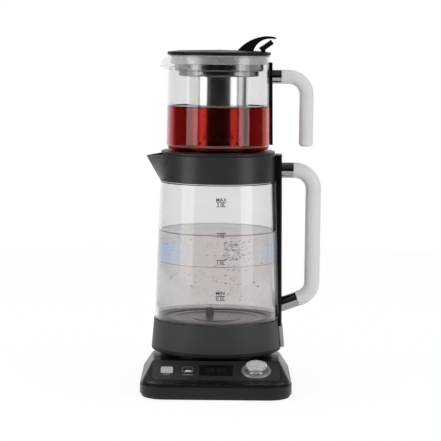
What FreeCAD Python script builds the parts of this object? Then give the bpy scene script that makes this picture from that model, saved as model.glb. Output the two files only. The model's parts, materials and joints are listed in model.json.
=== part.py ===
import FreeCAD, Part

import math
import os

# Automatic tea maker: a powered base with a sloping control panel, a glass kettle that lifts off it,
# and a small glass teapot with an infuser that stands on the kettle and is kept warm by its steam.
# Millimetres, +Z up. X points to the handles, -X to the spouts and -Y to the control panel.
# Everything is drawn about the kettle's upright axis, then moved so that the origin is the middle
# of the whole object's footprint, on the table.

Vector = FreeCAD.Vector
UP = Vector(0, 0, 1)

# ---- Base --------------------------------------------------------------------------------------
base_half_width = 85.5
base_front = 131.5
base_corner = 28.0
base_wall = 3.0
foot_height = 0.8
foot_radius = 7.0
foot_places = [(-56, -106), (56, -106), (-52, 24), (52, 24)]
screw_places = [(-75, -84), (75, -84), (-50, 42), (50, 42)]
screw_boss = 4.5
screw_radius = 1.6
screw_head = 3.2
inlet_z = 14.0
tray_inset = 2.5
tray_floor = 2.0
rim_clearance = 0.2
rim_wall = 2.0
rim_height = 3.5
band_top = 4.5
shell_edge_round = 4.0
lean_start = 15.0
side_lean = 0.65
ledge_z = 18.4
ledge_round = 14.0

panel_slope = 19.0
panel_front_y = -114.0
panel_front_z = 20.0
deck_crest_y = -72.0
deck_rear_z = 26.5
seat_radius = 66.0
seat_top = 36.0
hub_radius = 22.0

# The panel's own frame: x as the object's, y up the slope, z out of the panel.
plate_half_width = 71.5
plate_length = 43.0
plate_corner = 7.0
plate_depth = 1.6
plate_proud = 0.4
plate_ledge = 5.0
board_top = -11.0
board_thickness = 1.6
board_posts = [(-62, 12), (62, 12), (-62, -12), (62, -12)]
button_size = 14.0
button_corner = 2.5
button_gap = 0.3
button_proud = 0.6
button_travel = 0.8
switch_top = -7.0
tea_button_x = -55.5
warm_button_x = -32.0
display_width = 38.0
display_length = 24.0
knob_x = 45.5
knob_radius = 12.1
knob_height = 8.4
knob_under = 5.0
bezel_radius = 16.9
shaft_radius = 3.0
running_fit = 0.05

# ---- Kettle ------------------------------------------------------------------------------------
collar_bottom = 37.0
collar_top = 73.5
collar_foot_radius = 76.5
collar_head_radius = 73.6
collar_wall = 2.4
ledge_top = 67.0
glass_foot_radius = 72.8
glass_head_radius = 67.4
glass_foot = 73.6
glass_head = 235.4
glass_wall = 3.0
neck_inset = 2.2
neck_head = 242.5
plate_radius = 66.2
cover_screw_reach = 64.0
probe_place = (-7.7, 15.0)
probe_radius = 4.7
head_bottom = 235.5
head_top = 267.0
head_radius = 68.0
head_wall = 2.3
spout_reach = 84.4
spout_tip_z = 264.0
spout_wall = 1.8
pour_window_top = 30.0
pour_window_foot = 9.0

socket_radius = 16.0
tower_radius = 11.0
tower_top = 46.0

strap_width = 30.0
upper_ferrule_radius = 9.2
lower_ferrule_radius = 8.6
lower_ferrule_length = 24.0
upper_spigot_radius = 5.5
lower_spigot_radius = 4.5
spigot_length = 6.0
strap_low_radius = 77.2
strap_high_radius = 74.9
strap_bottom = 65.4
strap_top = 266.5
foot_thickness = 3.9
bar_diameter = 18.0
bar_line_x = 112.0
bar_top_z = 248.0
bar_top_bend = 22.0
bar_low_bend = 20.0
bar_low_angle = 20.0
ferrule_end_x = 88.2
low_joint = (95.0, 96.0)

# ---- Steam ring, teapot, infuser and lid ---------------------------------------------------------
ring_radius = 66.5
ring_bore = 42.0
ring_seat = 267.2
ring_top = 270.3
pot_bottom = 270.5
pot_rim = 380.0
pot_foot_radius = 61.0
pot_rim_radius = 59.5
pot_wall = 2.5
pot_corner = 9.0
pot_spout_reach = 68.8
pot_spout_tip_z = 368.2
pot_spout_root_z = 364.3
pot_spout_spread = 76.0
pot_spout_crest = (-64.6, 375.2)
pot_spout_start = -54.0

pot_strap_width = 18.0
pot_ferrule_radius = 8.1
pot_spigot_radius = 5.0
pot_strap_thickness = 2.6
pot_strap_bottom = 277.8
pot_strap_top = 373.5
pot_bar_diameter = 16.4
pot_bar_line_x = 102.4
pot_bar_z = 357.0
pot_bar_bend = 21.0
pot_bar_end_z = 275.9
pot_ferrule_end_x = 72.8

infuser_radius = 35.0
infuser_bottom = 275.0
sieve_top = 296.0
step_low_z = 357.0
step_high_z = 363.0
step_low_radius = 47.0
step_high_radius = 52.0
hanger_z = 371.4
sheet = 0.8
wall_hole_rows = 2
wall_holes = 20
wall_hole_pitch = 7.0
floor_hole_rings = 2
floor_ring_pitch = 10.0
hole_radius = 1.5

lid_radius = 60.2
lid_bottom = 381.7
lid_rim_z = 385.0
lid_top = 387.6
horn_width = 24.0
horn_tip_width = 17.0
horn_top = 403.7
# The horn's outline, as x and the drop below its top.
horn_front_x = 20.0
horn_rear_x = 39.4
horn_rise = [(35.2, 5.5), (53.4, 0.0)]
horn_crown = [(59.4, 0.1), (64.8, 1.0)]
horn_nose = [(65.8, 2.3), (64.7, 3.4)]
horn_under = [(58.9, 2.9), (53.4, 3.6)]
horn_throat = (44.4, 9.0)
latch_length = 15.8
latch_overhang = 1.6
latch_thickness = 6.0
latch_tilt = 35.5
latch_foot = (50.4, 385.9)
pin_along = 3.0
pin_radius = 1.1
lug_y = 6.6
lug_thickness = 2.2
lug_radius = 2.4
rib_count = 5
rib_pitch = 2.3

# The object reaches from the kettle spout's tip to the kettle's handle, and from the panel's front
# to the back of the base.
middle_x = (bar_line_x + bar_diameter / 2 - spout_reach) / 2
middle_y = (base_half_width - base_front) / 2

nodes = {}


# ---- Drawing aids ------------------------------------------------------------------------------
def rounded(points, place):
    """Closed wire through (u, v) corners; a third number rounds that corner with that radius."""
    starts = []
    ends = []
    middles = []
    for index, point in enumerate(points):
        here = place(point[0], point[1])
        radius = point[2] if len(point) > 2 else 0.0
        if not radius:
            starts.append(here)
            ends.append(here)
            middles.append(None)
            continue
        before = points[index - 1]
        after = points[(index + 1) % len(points)]
        back = (place(before[0], before[1]) - here).normalize()
        ahead = (place(after[0], after[1]) - here).normalize()
        half = back.getAngle(ahead) / 2
        centre = here + (back + ahead).normalize() * (radius / math.sin(half))
        starts.append(here + back * (radius / math.tan(half)))
        ends.append(here + ahead * (radius / math.tan(half)))
        middles.append(centre + (here - centre).normalize() * radius)
    edges = []
    for index in range(len(points)):
        if middles[index]:
            edges.append(Part.Arc(starts[index], middles[index], ends[index]).toShape())
        follow = starts[(index + 1) % len(points)]
        if ends[index].distanceToPoint(follow) > 1e-6:
            edges.append(Part.LineSegment(ends[index], follow).toShape())
    return Part.Wire(edges)


def upright(u, v):
    return Vector(u, 0, v)


def level(z):
    return lambda u, v: Vector(u, v, z)


def turned(points):
    """Solid of revolution about the kettle's axis from an outline of (radius, height) corners."""
    return Part.Face(rounded(points, upright)).revolve(Vector(0, 0, 0), UP, 360)


def raised(points, low, high):
    """Plan outline raised from one height to another."""
    face = Part.Face(rounded(points, level(low)))
    return face.extrude(Vector(0, 0, high - low))


def cylinder(radius, low, high, x=0.0, y=0.0):
    return Part.makeCylinder(radius, high - low, Vector(x, y, low))


def rectangle(half_x, half_y, corner, x=0.0, y=0.0):
    return [
        (x - half_x, y - half_y, corner),
        (x + half_x, y - half_y, corner),
        (x + half_x, y + half_y, corner),
        (x - half_x, y + half_y, corner),
    ]


def fused(shapes):
    return shapes[0].multiFuse(shapes[1:]).removeSplitter()


def keep(name, shape):
    nodes[name] = shape


# ---- Base shells -------------------------------------------------------------------------------
def base_plan(inset, z):
    """Straight sides and rounded front corners, closed at the rear by a half circle."""
    half = base_half_width - inset
    front = -(base_front - inset)
    corner = base_corner - inset
    lean = corner * (1 - math.sqrt(0.5))
    points = {
        "rear_right": Vector(half, 0, z),
        "side_right": Vector(half, front + corner, z),
        "front_right": Vector(half - corner, front, z),
        "front_left": Vector(corner - half, front, z),
        "side_left": Vector(-half, front + corner, z),
        "rear_left": Vector(-half, 0, z),
    }
    right_middle = Vector(half - lean, front + lean, z)
    left_middle = Vector(lean - half, front + lean, z)
    return Part.Wire(
        [
            Part.LineSegment(points["rear_right"], points["side_right"]).toShape(),
            Part.Arc(points["side_right"], right_middle, points["front_right"]).toShape(),
            Part.LineSegment(points["front_right"], points["front_left"]).toShape(),
            Part.Arc(points["front_left"], left_middle, points["side_left"]).toShape(),
            Part.LineSegment(points["side_left"], points["rear_left"]).toShape(),
            Part.Arc(points["rear_left"], Vector(0, half, z), points["rear_right"]).toShape(),
        ]
    )


def panel_z(y):
    return panel_front_z + math.tan(math.radians(panel_slope)) * (y - panel_front_y)


def base_block(inset, low, drop, edge_round):
    """The base's outer form: upright walls that lean in from a waist, under a roof of front ledge,
    sloping panel and gently falling deck."""
    margin = 20.0
    front = -base_front - margin
    rear = base_half_width + margin
    ledge_back = panel_front_y + (ledge_z - panel_front_z) / math.tan(math.radians(panel_slope))
    crest = panel_z(deck_crest_y) - drop
    fall = (deck_rear_z - panel_z(deck_crest_y)) / (base_half_width - deck_crest_y)
    side = [
        (front, low),
        (front, ledge_z - drop),
        (ledge_back, ledge_z - drop, ledge_round),
        (deck_crest_y, crest),
        (rear, crest + fall * (rear - deck_crest_y)),
        (rear, low),
    ]
    wide = base_half_width + margin
    roof = Part.Face(rounded(side, lambda y, z: Vector(-wide, y, z))).extrude(Vector(2 * wide, 0, 0))
    wall = Part.Face(base_plan(inset, low)).extrude(Vector(0, 0, lean_start - low))
    cone_height = 30.0
    cone_top = base_plan(inset + side_lean * cone_height, lean_start + cone_height)
    cone = Part.makeLoft([base_plan(inset, lean_start), cone_top], True, True)
    block = fused([wall, cone]).common(roof)
    if not edge_round:
        return block
    return block.makeFillet(edge_round, [edge for edge in block.Edges if on_roof_rim(edge)])


def on_roof_rim(edge):
    """Top outer edges, apart from those that run straight across the roof."""
    rim_depth = 9.0
    box = edge.BoundBox
    across = box.YLength < 0.01 and box.YMin > -base_front + shell_edge_round
    on_roof = True
    for vertex in edge.Vertexes:
        y = vertex.Point.y
        roof_z = max(ledge_z, min(panel_z(y), panel_z(deck_crest_y)))
        lowest = max(roof_z - rim_depth, lean_start + 1)
        on_roof = on_roof and vertex.Point.z > lowest
    return on_roof and not across


panel_middle_y = panel_front_y + plate_length / 2 * math.cos(math.radians(panel_slope))
panel_place = FreeCAD.Placement(
    Vector(0, panel_middle_y, panel_z(panel_middle_y)), FreeCAD.Rotation(Vector(1, 0, 0), panel_slope)
)


def on_panel(shape):
    """Moves a shape drawn in the panel's frame to its place on the slope."""
    moved = shape.copy()
    moved.Placement = panel_place.multiply(moved.Placement)
    return moved


def make_base_shells():
    outer = base_block(0.0, band_top, 0.0, shell_edge_round)
    inner = base_block(base_wall, band_top, base_wall, 0.0)
    bosses = [cylinder(screw_boss, 10, 60, x, y).common(outer) for x, y in screw_places]
    seat = cylinder(seat_radius, 24, seat_top)
    seat = seat.makeFillet(1.5, [edge for edge in seat.Edges if edge.BoundBox.ZMin > seat_top - 0.1])
    shell = outer.cut(inner)
    shell = fused([shell, seat] + bosses)
    hollow = cylinder(seat_radius - base_wall, 18, seat_top - base_wall)
    shell = shell.cut(hollow.cut(fused([cylinder(hub_radius, 18, 40)] + bosses)))
    shell = shell.cut(cylinder(19, seat_top - 3, seat_top + 1))
    shell = shell.cut(cylinder(15, 0, seat_top))
    well = raised(rectangle(plate_half_width + 0.1, plate_length / 2 + 0.1, plate_corner), -plate_depth, 8)
    window = raised(
        rectangle(plate_half_width - plate_ledge, plate_length / 2 - plate_ledge, 3), -12, 0
    )
    shell = shell.cut(on_panel(fused([well, window])))
    for x, y in screw_places:
        shell = shell.cut(cylinder(screw_radius - 0.2, 9, 20, x, y))
    inlet = Part.makeCylinder(5.6, 30, Vector(0, base_half_width - 15, inlet_z), Vector(0, 1, 0))
    keep("base_top_shell", shell.cut(inlet))

    low_wire = base_plan(tray_inset, foot_height)
    high_wire = base_plan(0.6, band_top)
    tray = Part.makeLoft([low_wire, high_wire], True, True)
    rim_inset = base_wall + rim_clearance
    rim = Part.Face(base_plan(rim_inset, band_top)).extrude(Vector(0, 0, rim_height))
    hollow = Part.Face(base_plan(rim_inset + rim_wall, foot_height + tray_floor))
    hollow = hollow.extrude(Vector(0, 0, band_top + rim_height))
    tray = fused([tray, rim]).cut(hollow)
    posts = [cylinder(screw_boss, foot_height + 0.5, 10, x, y) for x, y in screw_places]
    tray = fused([tray] + posts)
    for x, y in screw_places:
        tray = tray.cut(cylinder(screw_radius + 0.1, 0, 12, x, y))
        tray = tray.cut(cylinder(screw_head + 0.3, 0, foot_height + 2.2, x, y))
    for x, y in foot_places:
        tray = tray.cut(cylinder(foot_radius, 0, foot_height + 0.8, x, y))
    keep("base_bottom_shell", tray)


def make_base_hardware():
    feet = []
    for x, y in foot_places:
        foot = cylinder(foot_radius - 0.1, 0, foot_height + 0.8, x, y)
        low = [edge for edge in foot.Edges if edge.BoundBox.ZMax < 0.1]
        feet.append(foot.makeFillet(0.8, low))
    keep("base_feet", Part.makeCompound(feet))

    screws = []
    for x, y in screw_places:
        head = cylinder(screw_head, foot_height + 0.3, foot_height + 2.2, x, y)
        screws.append(fused([head, cylinder(screw_radius - 0.2, foot_height + 2, 19.8, x, y)]))
    keep("base_screws", Part.makeCompound(screws))

    rear = base_half_width
    inlet = Part.makeCylinder(6.8, 4, Vector(0, rear - 3, inlet_z), Vector(0, 1, 0))
    throat = Part.makeCylinder(5.5, 8, Vector(0, rear - 8, inlet_z), Vector(0, 1, 0))
    bore = Part.makeCylinder(3.4, 40, Vector(0, rear - 20, inlet_z), Vector(0, 1, 0))
    flange = inlet.cut(base_block(0.0, band_top, 0.0, shell_edge_round))
    keep("cord_inlet", fused([flange, throat]).cut(bore))


# ---- Control panel -----------------------------------------------------------------------------
def make_control_panel():
    plate = raised(
        rectangle(plate_half_width, plate_length / 2, plate_corner), -plate_depth, plate_proud
    )
    top = [edge for edge in plate.Edges if edge.BoundBox.ZMin > plate_proud - 0.01]
    plate = plate.makeFillet(0.3, top)
    posts = []
    for x, y in board_posts:
        posts.append(cylinder(2.4, board_top, -plate_depth + 0.5, x, y))
    plate = fused([plate] + posts)
    hole = button_size / 2 + button_gap
    for x in (tea_button_x, warm_button_x):
        plate = plate.cut(raised(rectangle(hole, hole, button_corner + button_gap, x), -5, 5))
    half_width = display_width / 2
    half_length = display_length / 2
    pocket = rectangle(half_width + 0.05, half_length + 0.05, 1.0)
    plate = plate.cut(raised(pocket, -1.0, 5))
    plate = plate.cut(raised(rectangle(half_width - 2, half_length - 2, 0.5), -5, 5))
    plate = plate.cut(cylinder(5.0, -5, 5, knob_x))
    keep("control_panel", on_panel(plate))

    lens = raised(rectangle(half_width, half_length, 1.0), -1.0, plate_proud + 0.1)
    keep("display_window", on_panel(lens))

    module = raised(rectangle(half_width - 2.2, half_length - 2.2, 0.4), -3.2, -1.1)
    carrier = raised(rectangle(half_width - 5, half_length - 5, 0.4), board_top, -3.2)
    keep("display_module", on_panel(fused([module, carrier])))

    board = raised(rectangle(66, 16, 2), board_top - board_thickness, board_top)
    for x, y in board_posts:
        board = board.cut(cylinder(1.1, board_top - 3, board_top + 1, x, y))
    keep("control_board", on_panel(board))

    screws = []
    for x, y in board_posts:
        low = board_top - board_thickness
        screws.append(cylinder(2.0, low - 1.2, low, x, y))
    keep("board_screws", on_panel(Part.makeCompound(screws)))

    bezel = turned([(11.2, plate_proud), (bezel_radius, plate_proud), (bezel_radius - 0.9, 2.3, 0.4),
                    (13.4, 2.0), (12.4, 1.4), (11.2, 1.4)])
    bezel.translate(Vector(knob_x, 0, 0))
    keep("knob_bezel", on_panel(bezel))


def make_panel_controls():
    for name, x in (("tea_button", tea_button_x), ("warm_button", warm_button_x)):
        half = button_size / 2
        cap = raised(rectangle(half, half, button_corner, x), -2.6, plate_proud + button_proud)
        top = [edge for edge in cap.Edges if edge.BoundBox.ZMin > plate_proud]
        cap = cap.makeFillet(0.4, top)
        flange = raised(rectangle(half + 1, half + 1, button_corner + 1, x), -2.7, -1.9)
        stem = cylinder(2.0, switch_top + 0.2 + button_travel, -2.6, x)
        keep(name, on_panel(fused([cap, flange, stem])))

    switches = []
    for x in (tea_button_x, warm_button_x):
        body = raised(rectangle(3, 3, 0.3, x), board_top, -7.6)
        switches.append(fused([body, cylinder(1.7, -7.7, switch_top, x)]))
    keep("button_switches", on_panel(Part.makeCompound(switches)))

    body = raised(rectangle(6.2, 6.2, 0.5, knob_x), board_top, -5)
    bushing = cylinder(4.5, -5, -0.6, knob_x)
    bore = cylinder(shaft_radius + running_fit, -9.6, 5, knob_x)
    keep("rotary_encoder", on_panel(fused([body, bushing]).cut(bore)))

    shaft = cylinder(shaft_radius, -9.2, knob_under + 1.2, knob_x)
    keep("knob_shaft", on_panel(shaft))

    core = turned([(3.0, 0.9), (10.8, 0.9), (10.8, 2.4, 0.6), (8.6, 3.8, 0.8), (8.6, knob_under),
                   (3.0, knob_under)])
    core.translate(Vector(knob_x, 0, 0))
    keep("knob_body", on_panel(core))

    cap = turned([(0.0, knob_under + 1.2), (3.0, knob_under + 1.2), (3.0, knob_under),
                  (knob_radius - 0.5, knob_under, 0.4), (knob_radius, knob_under + 1.2, 0.4),
                  (knob_radius, knob_height - 0.6, 0.6),
                  (knob_radius - 1.6, knob_height), (knob_radius - 2.4, knob_height - 0.5),
                  (0.0, knob_height - 0.9)])
    notch = raised(rectangle(0.7, 1.6, 0.6, 0, knob_radius - 2.6), knob_height - 1.4, knob_height + 1)
    cap = cap.cut(notch)
    cap.translate(Vector(knob_x, 0, 0))
    keep("knob_cap", on_panel(cap))


# ---- Round connector between base and kettle ------------------------------------------------------
def make_coupler():
    tower = turned([(2.2, 25), (14.95, 25), (14.95, 33.1), (18.6, 33.1), (18.6, seat_top - 0.4, 0.5),
                    (tower_radius, seat_top - 0.2), (tower_radius, tower_top, 1.2), (2.2, tower_top)])
    groove = turned([(tower_radius - 1.6, tower_top - 5), (tower_radius + 1, tower_top - 5),
                     (tower_radius + 1, tower_top - 2.5), (tower_radius - 1.6, tower_top - 2.5)])
    keep("coupler_tower", tower.cut(groove))

    pin = cylinder(2.2, 22, tower_top + 2.5)
    pin = pin.makeFillet(0.9, [edge for edge in pin.Edges if edge.BoundBox.ZMin > tower_top + 2])
    ring = turned([(tower_radius - 1.6, tower_top - 5), (tower_radius - 0.2, tower_top - 4.6),
                   (tower_radius - 0.2, tower_top - 2.9), (tower_radius - 1.6, tower_top - 2.5)])
    keep("coupler_contacts", Part.makeCompound([pin, ring]))

    socket = turned([(tower_radius + 0.4, 36.4), (socket_radius, 36.4, 0.6), (socket_radius, 51),
                     (0, 51), (0, tower_top + 3), (tower_radius + 0.4, tower_top + 3)])
    keep("kettle_socket", socket)


# ---- Kettle bottom -----------------------------------------------------------------------------
def around(radius, angles):
    """Places on a circle about the kettle's axis, at angles in degrees from +X."""
    return [
        (radius * math.cos(math.radians(angle)), radius * math.sin(math.radians(angle)))
        for angle in angles
    ]


def make_kettle_bottom():
    cover_screw_places = around(cover_screw_reach, (90, 210, 330))
    foot_inner = collar_foot_radius - collar_wall
    head_inner = collar_head_radius - collar_wall
    collar = turned([(foot_inner, collar_bottom, 0.6), (collar_foot_radius, collar_bottom, 1.4),
                     (collar_head_radius, collar_top, 0.6), (head_inner, collar_top),
                     (head_inner, ledge_top), (63, ledge_top), (63, ledge_top - 2),
                     (head_inner + 0.3, ledge_top - 2)])
    bosses = [cylinder(4, 39, ledge_top - 1, x, y) for x, y in cover_screw_places]
    collar = fused([collar] + bosses)
    for x, y in cover_screw_places:
        collar = collar.cut(cylinder(1.4, 30, 52, x, y))
    keep("kettle_bottom_collar", collar)

    cover = turned([(socket_radius + 0.1, 36.4), (foot_inner - 0.6, 36.4, 1.0), (foot_inner - 0.6, 39),
                    (socket_radius + 0.1, 39)])
    rib = turned([(22, 38.5), (24, 38.5), (24, 43), (22, 43)])
    cover = fused([cover, rib])
    for x, y in cover_screw_places:
        cover = cover.cut(cylinder(1.5, 30, 45, x, y))
        cover = cover.cut(cylinder(3.1, 30, 37.9, x, y))
    keep("kettle_bottom_cover", cover)

    screws = []
    for x, y in cover_screw_places:
        screws.append(fused([cylinder(2.9, 36.6, 37.9, x, y), cylinder(1.4, 37.8, 51, x, y)]))
    keep("bottom_cover_screws", Part.makeCompound(screws))

    control = raised(rectangle(24, 18, 4), 51, 61)
    keep("kettle_control", control)

    top_line = [(0, 73.6), (26, 73.6, 1.0), (28, 72.4, 1.0), (45, 72.4, 1.0), (47, 73.6, 1.0),
                (55, 73.6, 1.0), (57, 71.8, 1.0), (60, 71.8, 1.0), (62, 74.2, 1.0), (plate_radius, 74.2)]
    under_line = [(radius, z - 1.0) for radius, z in [(plate_radius, 74.2), (62.8, 74.2), (60.4, 71.8),
                                                     (56.6, 71.8), (54.6, 73.6), (47.4, 73.6),
                                                     (45.4, 72.4), (27.6, 72.4), (25.6, 73.6), (0, 73.6)]]
    flange = turned([(plate_radius - 1, 70), (plate_radius, 70), (plate_radius, 73.4),
                     (plate_radius - 1, 73.4)])
    disc = fused([turned(top_line + under_line), flange])
    probe_x, probe_y = probe_place
    keep("heating_plate", disc.cut(cylinder(probe_radius, 60, 80, probe_x, probe_y)))

    keep("plate_seal", turned([(63.4, ledge_top), (plate_radius + 0.2, ledge_top), (plate_radius + 0.2, 70),
                               (63.4, 70)]))

    probe = cylinder(probe_radius, 62, 83, probe_x, probe_y)
    top = [edge for edge in probe.Edges if edge.BoundBox.ZMin > 82]
    keep("temperature_probe", probe.makeFillet(1.6, top))

    coil_radius = 37.0
    coil_tube = 3.4
    coil_z = 71.4 - coil_tube
    coil = Part.makeTorus(coil_radius, coil_tube, Vector(0, 0, coil_z), UP, 0, 360, 300)
    coil.rotate(Vector(0, 0, 0), UP, 120)
    ends = []
    for x, y in around(coil_radius, (120, 60)):
        ends.append(cylinder(coil_tube - 0.2, 52, coil_z, x, y))
    keep("heating_element", fused([coil] + ends))


# ---- Kettle glass, head and spout -----------------------------------------------------------------
def beak(radius, tip_low, tip_high, wall, nose):
    """Spout outside a round wall: tip_low and tip_high are (reach, height) of the tip's edge.

    At each height two straight walls leave the circle as tangents and meet at the rounded tip.
    """
    steps = 4
    sections = []
    for step in range(steps + 1):
        share = step / steps
        reach = tip_low[0] + share * (tip_high[0] - tip_low[0]) - wall
        z = tip_low[1] + share * (tip_high[1] - tip_low[1])
        inside = radius - wall
        half_angle = math.acos(inside / reach)
        touch_x = -inside * math.cos(half_angle)
        touch_y = inside * math.sin(half_angle)
        back = -0.55 * inside
        outline = [(-reach, 0, nose), (touch_x, touch_y), (back, touch_y), (back, -touch_y),
                   (touch_x, -touch_y)]
        sections.append(rounded(outline, level(z)))
    return Part.makeLoft(sections, True, False)


def make_kettle_head():
    neck_foot = glass_foot_radius - neck_inset
    neck_top = glass_head_radius - neck_inset - 0.1
    glass = turned([(neck_foot, ledge_top + 0.3), (neck_foot, glass_foot),
                    (glass_foot_radius, glass_foot, 0.8), (glass_head_radius, glass_head, 0.8),
                    (neck_top, glass_head), (neck_top, neck_head, 0.9),
                    (neck_top - glass_wall, neck_head, 0.9), (neck_top - glass_wall, glass_head + 1, 2.0),
                    (glass_head_radius - glass_wall, glass_head - 2, 2.0),
                    (glass_foot_radius - glass_wall, glass_foot + 2, 2.0),
                    (neck_foot - glass_wall + 0.1, glass_foot, 2.0),
                    (neck_foot - glass_wall + 0.1, ledge_top + 0.3)])
    keep("kettle_glass", glass)

    keep("glass_top_seal", turned([(neck_top - glass_wall, neck_head), (neck_top, neck_head),
                                   (neck_top, neck_head + 1), (neck_top - glass_wall, neck_head + 1)]))

    inner = head_radius - head_wall
    head = turned([(inner - 0.1, head_bottom), (head_radius + 0.1, head_bottom, 0.6),
                   (head_radius - 0.3, head_top, 1.0), (inner, head_top, 0.4), (inner, neck_head + 3),
                   (neck_top - glass_wall, neck_head + 3), (neck_top - glass_wall, neck_head + 1),
                   (inner - 0.1, neck_head + 1)])
    low_tip = (head_radius + 1.2, head_bottom + 2.4)
    tilt = (spout_reach - low_tip[0]) / (spout_tip_z - low_tip[1])
    high_z = head_top + 2
    high_tip = (low_tip[0] + tilt * (high_z - low_tip[1]), high_z)
    outside = beak(head_radius, low_tip, high_tip, 0.0, 1.6)
    channel = beak(head_radius, low_tip, high_tip, spout_wall, 0.8)
    channel = channel.common(Part.makeBox(200, 200, 40, Vector(-200, -100, neck_head + 3)))
    drop = head_top - spout_tip_z
    cut_line = [(-head_radius + 13, head_top), (-spout_reach, head_top - drop), (-120, head_top - drop - 6),
                (-120, head_top + 20), (-head_radius + 13, head_top + 20)]
    above = Part.Face(rounded(cut_line, lambda x, z: Vector(x, -100, z))).extrude(Vector(0, 200, 0))
    spout = outside.cut(cylinder(head_radius + 0.12, 200, 300)).cut(channel).cut(above)
    keep("kettle_spout", spout)
    window = [(-pour_window_top, head_top + 3), (pour_window_top, head_top + 3),
              (pour_window_foot, neck_head + 4, 3.0), (-pour_window_foot, neck_head + 4, 3.0)]
    pour = Part.Face(rounded(window, lambda y, z: Vector(-head_radius - 10, y, z)))
    keep("kettle_top_collar", head.cut(pour.extrude(Vector(30, 0, 0))))


# ---- Handles -----------------------------------------------------------------------------------
def hugging_strip(low_radii, high_radii, low, high, width, edge_round):
    """Strip that follows a tapering round wall on its +X side; radii are (inner, outer)."""
    ring = turned([(low_radii[0], low), (low_radii[1], low), (high_radii[1], high), (high_radii[0], high)])
    half = width / 2
    strip = ring.common(Part.makeBox(200, width, high - low + 2, Vector(0, -half, low - 1)))
    outer_edges = []
    for edge in strip.Edges:
        box = edge.BoundBox
        long_edge = box.ZLength > (high - low) * 0.9
        at_side = abs(abs(box.YMin) - half) < 0.01
        if long_edge and at_side and box.XMax > (high_radii[0] + 3 * high_radii[1]) / 4:
            outer_edges.append(edge)
    return strip.makeFillet(edge_round, outer_edges)


def bar(path_points, radius):
    """Round bar along straight runs joined by tangent arcs; points are (x, z) or (x, z, bend radius)."""
    closing = rounded(path_points, upright)
    start = path_points[0]
    last = path_points[-1]
    first_point = upright(start[0], start[1])
    last_point = upright(last[0], last[1])
    edges = []
    for edge in closing.Edges:
        ends = [vertex.Point for vertex in edge.Vertexes]
        closes = all(
            min(end.distanceToPoint(first_point), end.distanceToPoint(last_point)) < 1e-6 for end in ends
        )
        if not closes:
            edges.append(edge)
    path = Part.Wire(Part.__sortEdges__(edges))
    second = path_points[1]
    direction = upright(second[0] - start[0], second[1] - start[1])
    circle = Part.Wire(Part.Circle(first_point, direction, radius).toShape())
    return path.makePipeShell([circle], True, False)


def make_kettle_handle():
    gap = 0.2
    foot_bottom = collar_bottom + 3.3
    share = (collar_top - strap_bottom) / (collar_top - collar_bottom)
    low_radius = collar_head_radius + share * (collar_foot_radius - collar_head_radius) + gap
    foot_radii = (collar_foot_radius + gap, collar_foot_radius + gap + foot_thickness)
    strap = hugging_strip((low_radius, strap_low_radius), (head_radius + gap / 2, strap_high_radius),
                          strap_bottom, strap_top, strap_width, 1.6)
    foot = hugging_strip(foot_radii, (low_radius, low_radius + foot_thickness), foot_bottom, strap_bottom,
                         strap_width - 6, 1.5)
    keep("handle_strap", strap)
    keep("strap_foot", foot)

    strap_face = strap_high_radius
    upper = Part.makeCylinder(upper_ferrule_radius, ferrule_end_x - strap_face + 1,
                              upright(strap_face - 1, bar_top_z), Vector(1, 0, 0))
    spigot = Part.makeCylinder(upper_spigot_radius, spigot_length, upright(ferrule_end_x, bar_top_z),
                               Vector(1, 0, 0))
    keep("upper_ferrule", fused([upper.cut(strap), spigot]))

    slope = math.radians(bar_low_angle)
    toward = Vector(-math.cos(slope), 0, -math.sin(slope))
    joint = upright(low_joint[0], low_joint[1])
    lower = Part.makeCylinder(lower_ferrule_radius, lower_ferrule_length, joint, toward)
    lower = lower.cut(strap).cut(cylinder(strap_high_radius - 1, 60, 140))
    spigot = Part.makeCylinder(lower_spigot_radius, spigot_length, joint, toward * -1)
    keep("lower_ferrule", fused([lower, spigot]))

    corner_z = low_joint[1] + (bar_line_x - low_joint[0]) * math.tan(slope)
    grip = bar([(ferrule_end_x, bar_top_z), (bar_line_x, bar_top_z, bar_top_bend),
                (bar_line_x, corner_z, bar_low_bend), low_joint], bar_diameter / 2)
    keep("kettle_handle_bar", grip.cut(nodes["upper_ferrule"]).cut(nodes["lower_ferrule"]))


def make_pot_handle():
    gap = 0.2
    low_inner = pot_foot_radius + gap
    high_inner = pot_rim_radius + gap
    strap = hugging_strip((low_inner, low_inner + pot_strap_thickness),
                          (high_inner, high_inner + pot_strap_thickness),
                          pot_strap_bottom, pot_strap_top, pot_strap_width, 1.2)
    keep("pot_strap", strap)

    face = pot_rim_radius + gap + pot_strap_thickness
    ferrule = Part.makeCylinder(pot_ferrule_radius, pot_ferrule_end_x - face + 1,
                                upright(face - 1, pot_bar_z), Vector(1, 0, 0))
    spigot = Part.makeCylinder(pot_spigot_radius, spigot_length, upright(pot_ferrule_end_x, pot_bar_z),
                               Vector(1, 0, 0))
    keep("pot_ferrule", fused([ferrule.cut(strap), spigot]))

    grip = bar([(pot_ferrule_end_x, pot_bar_z), (pot_bar_line_x, pot_bar_z, pot_bar_bend),
                (pot_bar_line_x, pot_bar_end_z)], pot_bar_diameter / 2)
    end = [edge for edge in grip.Edges if edge.BoundBox.ZMax < pot_bar_end_z + 0.1]
    keep("pot_handle_bar", grip.makeFillet(4.0, end).cut(nodes["pot_ferrule"]))


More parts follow.
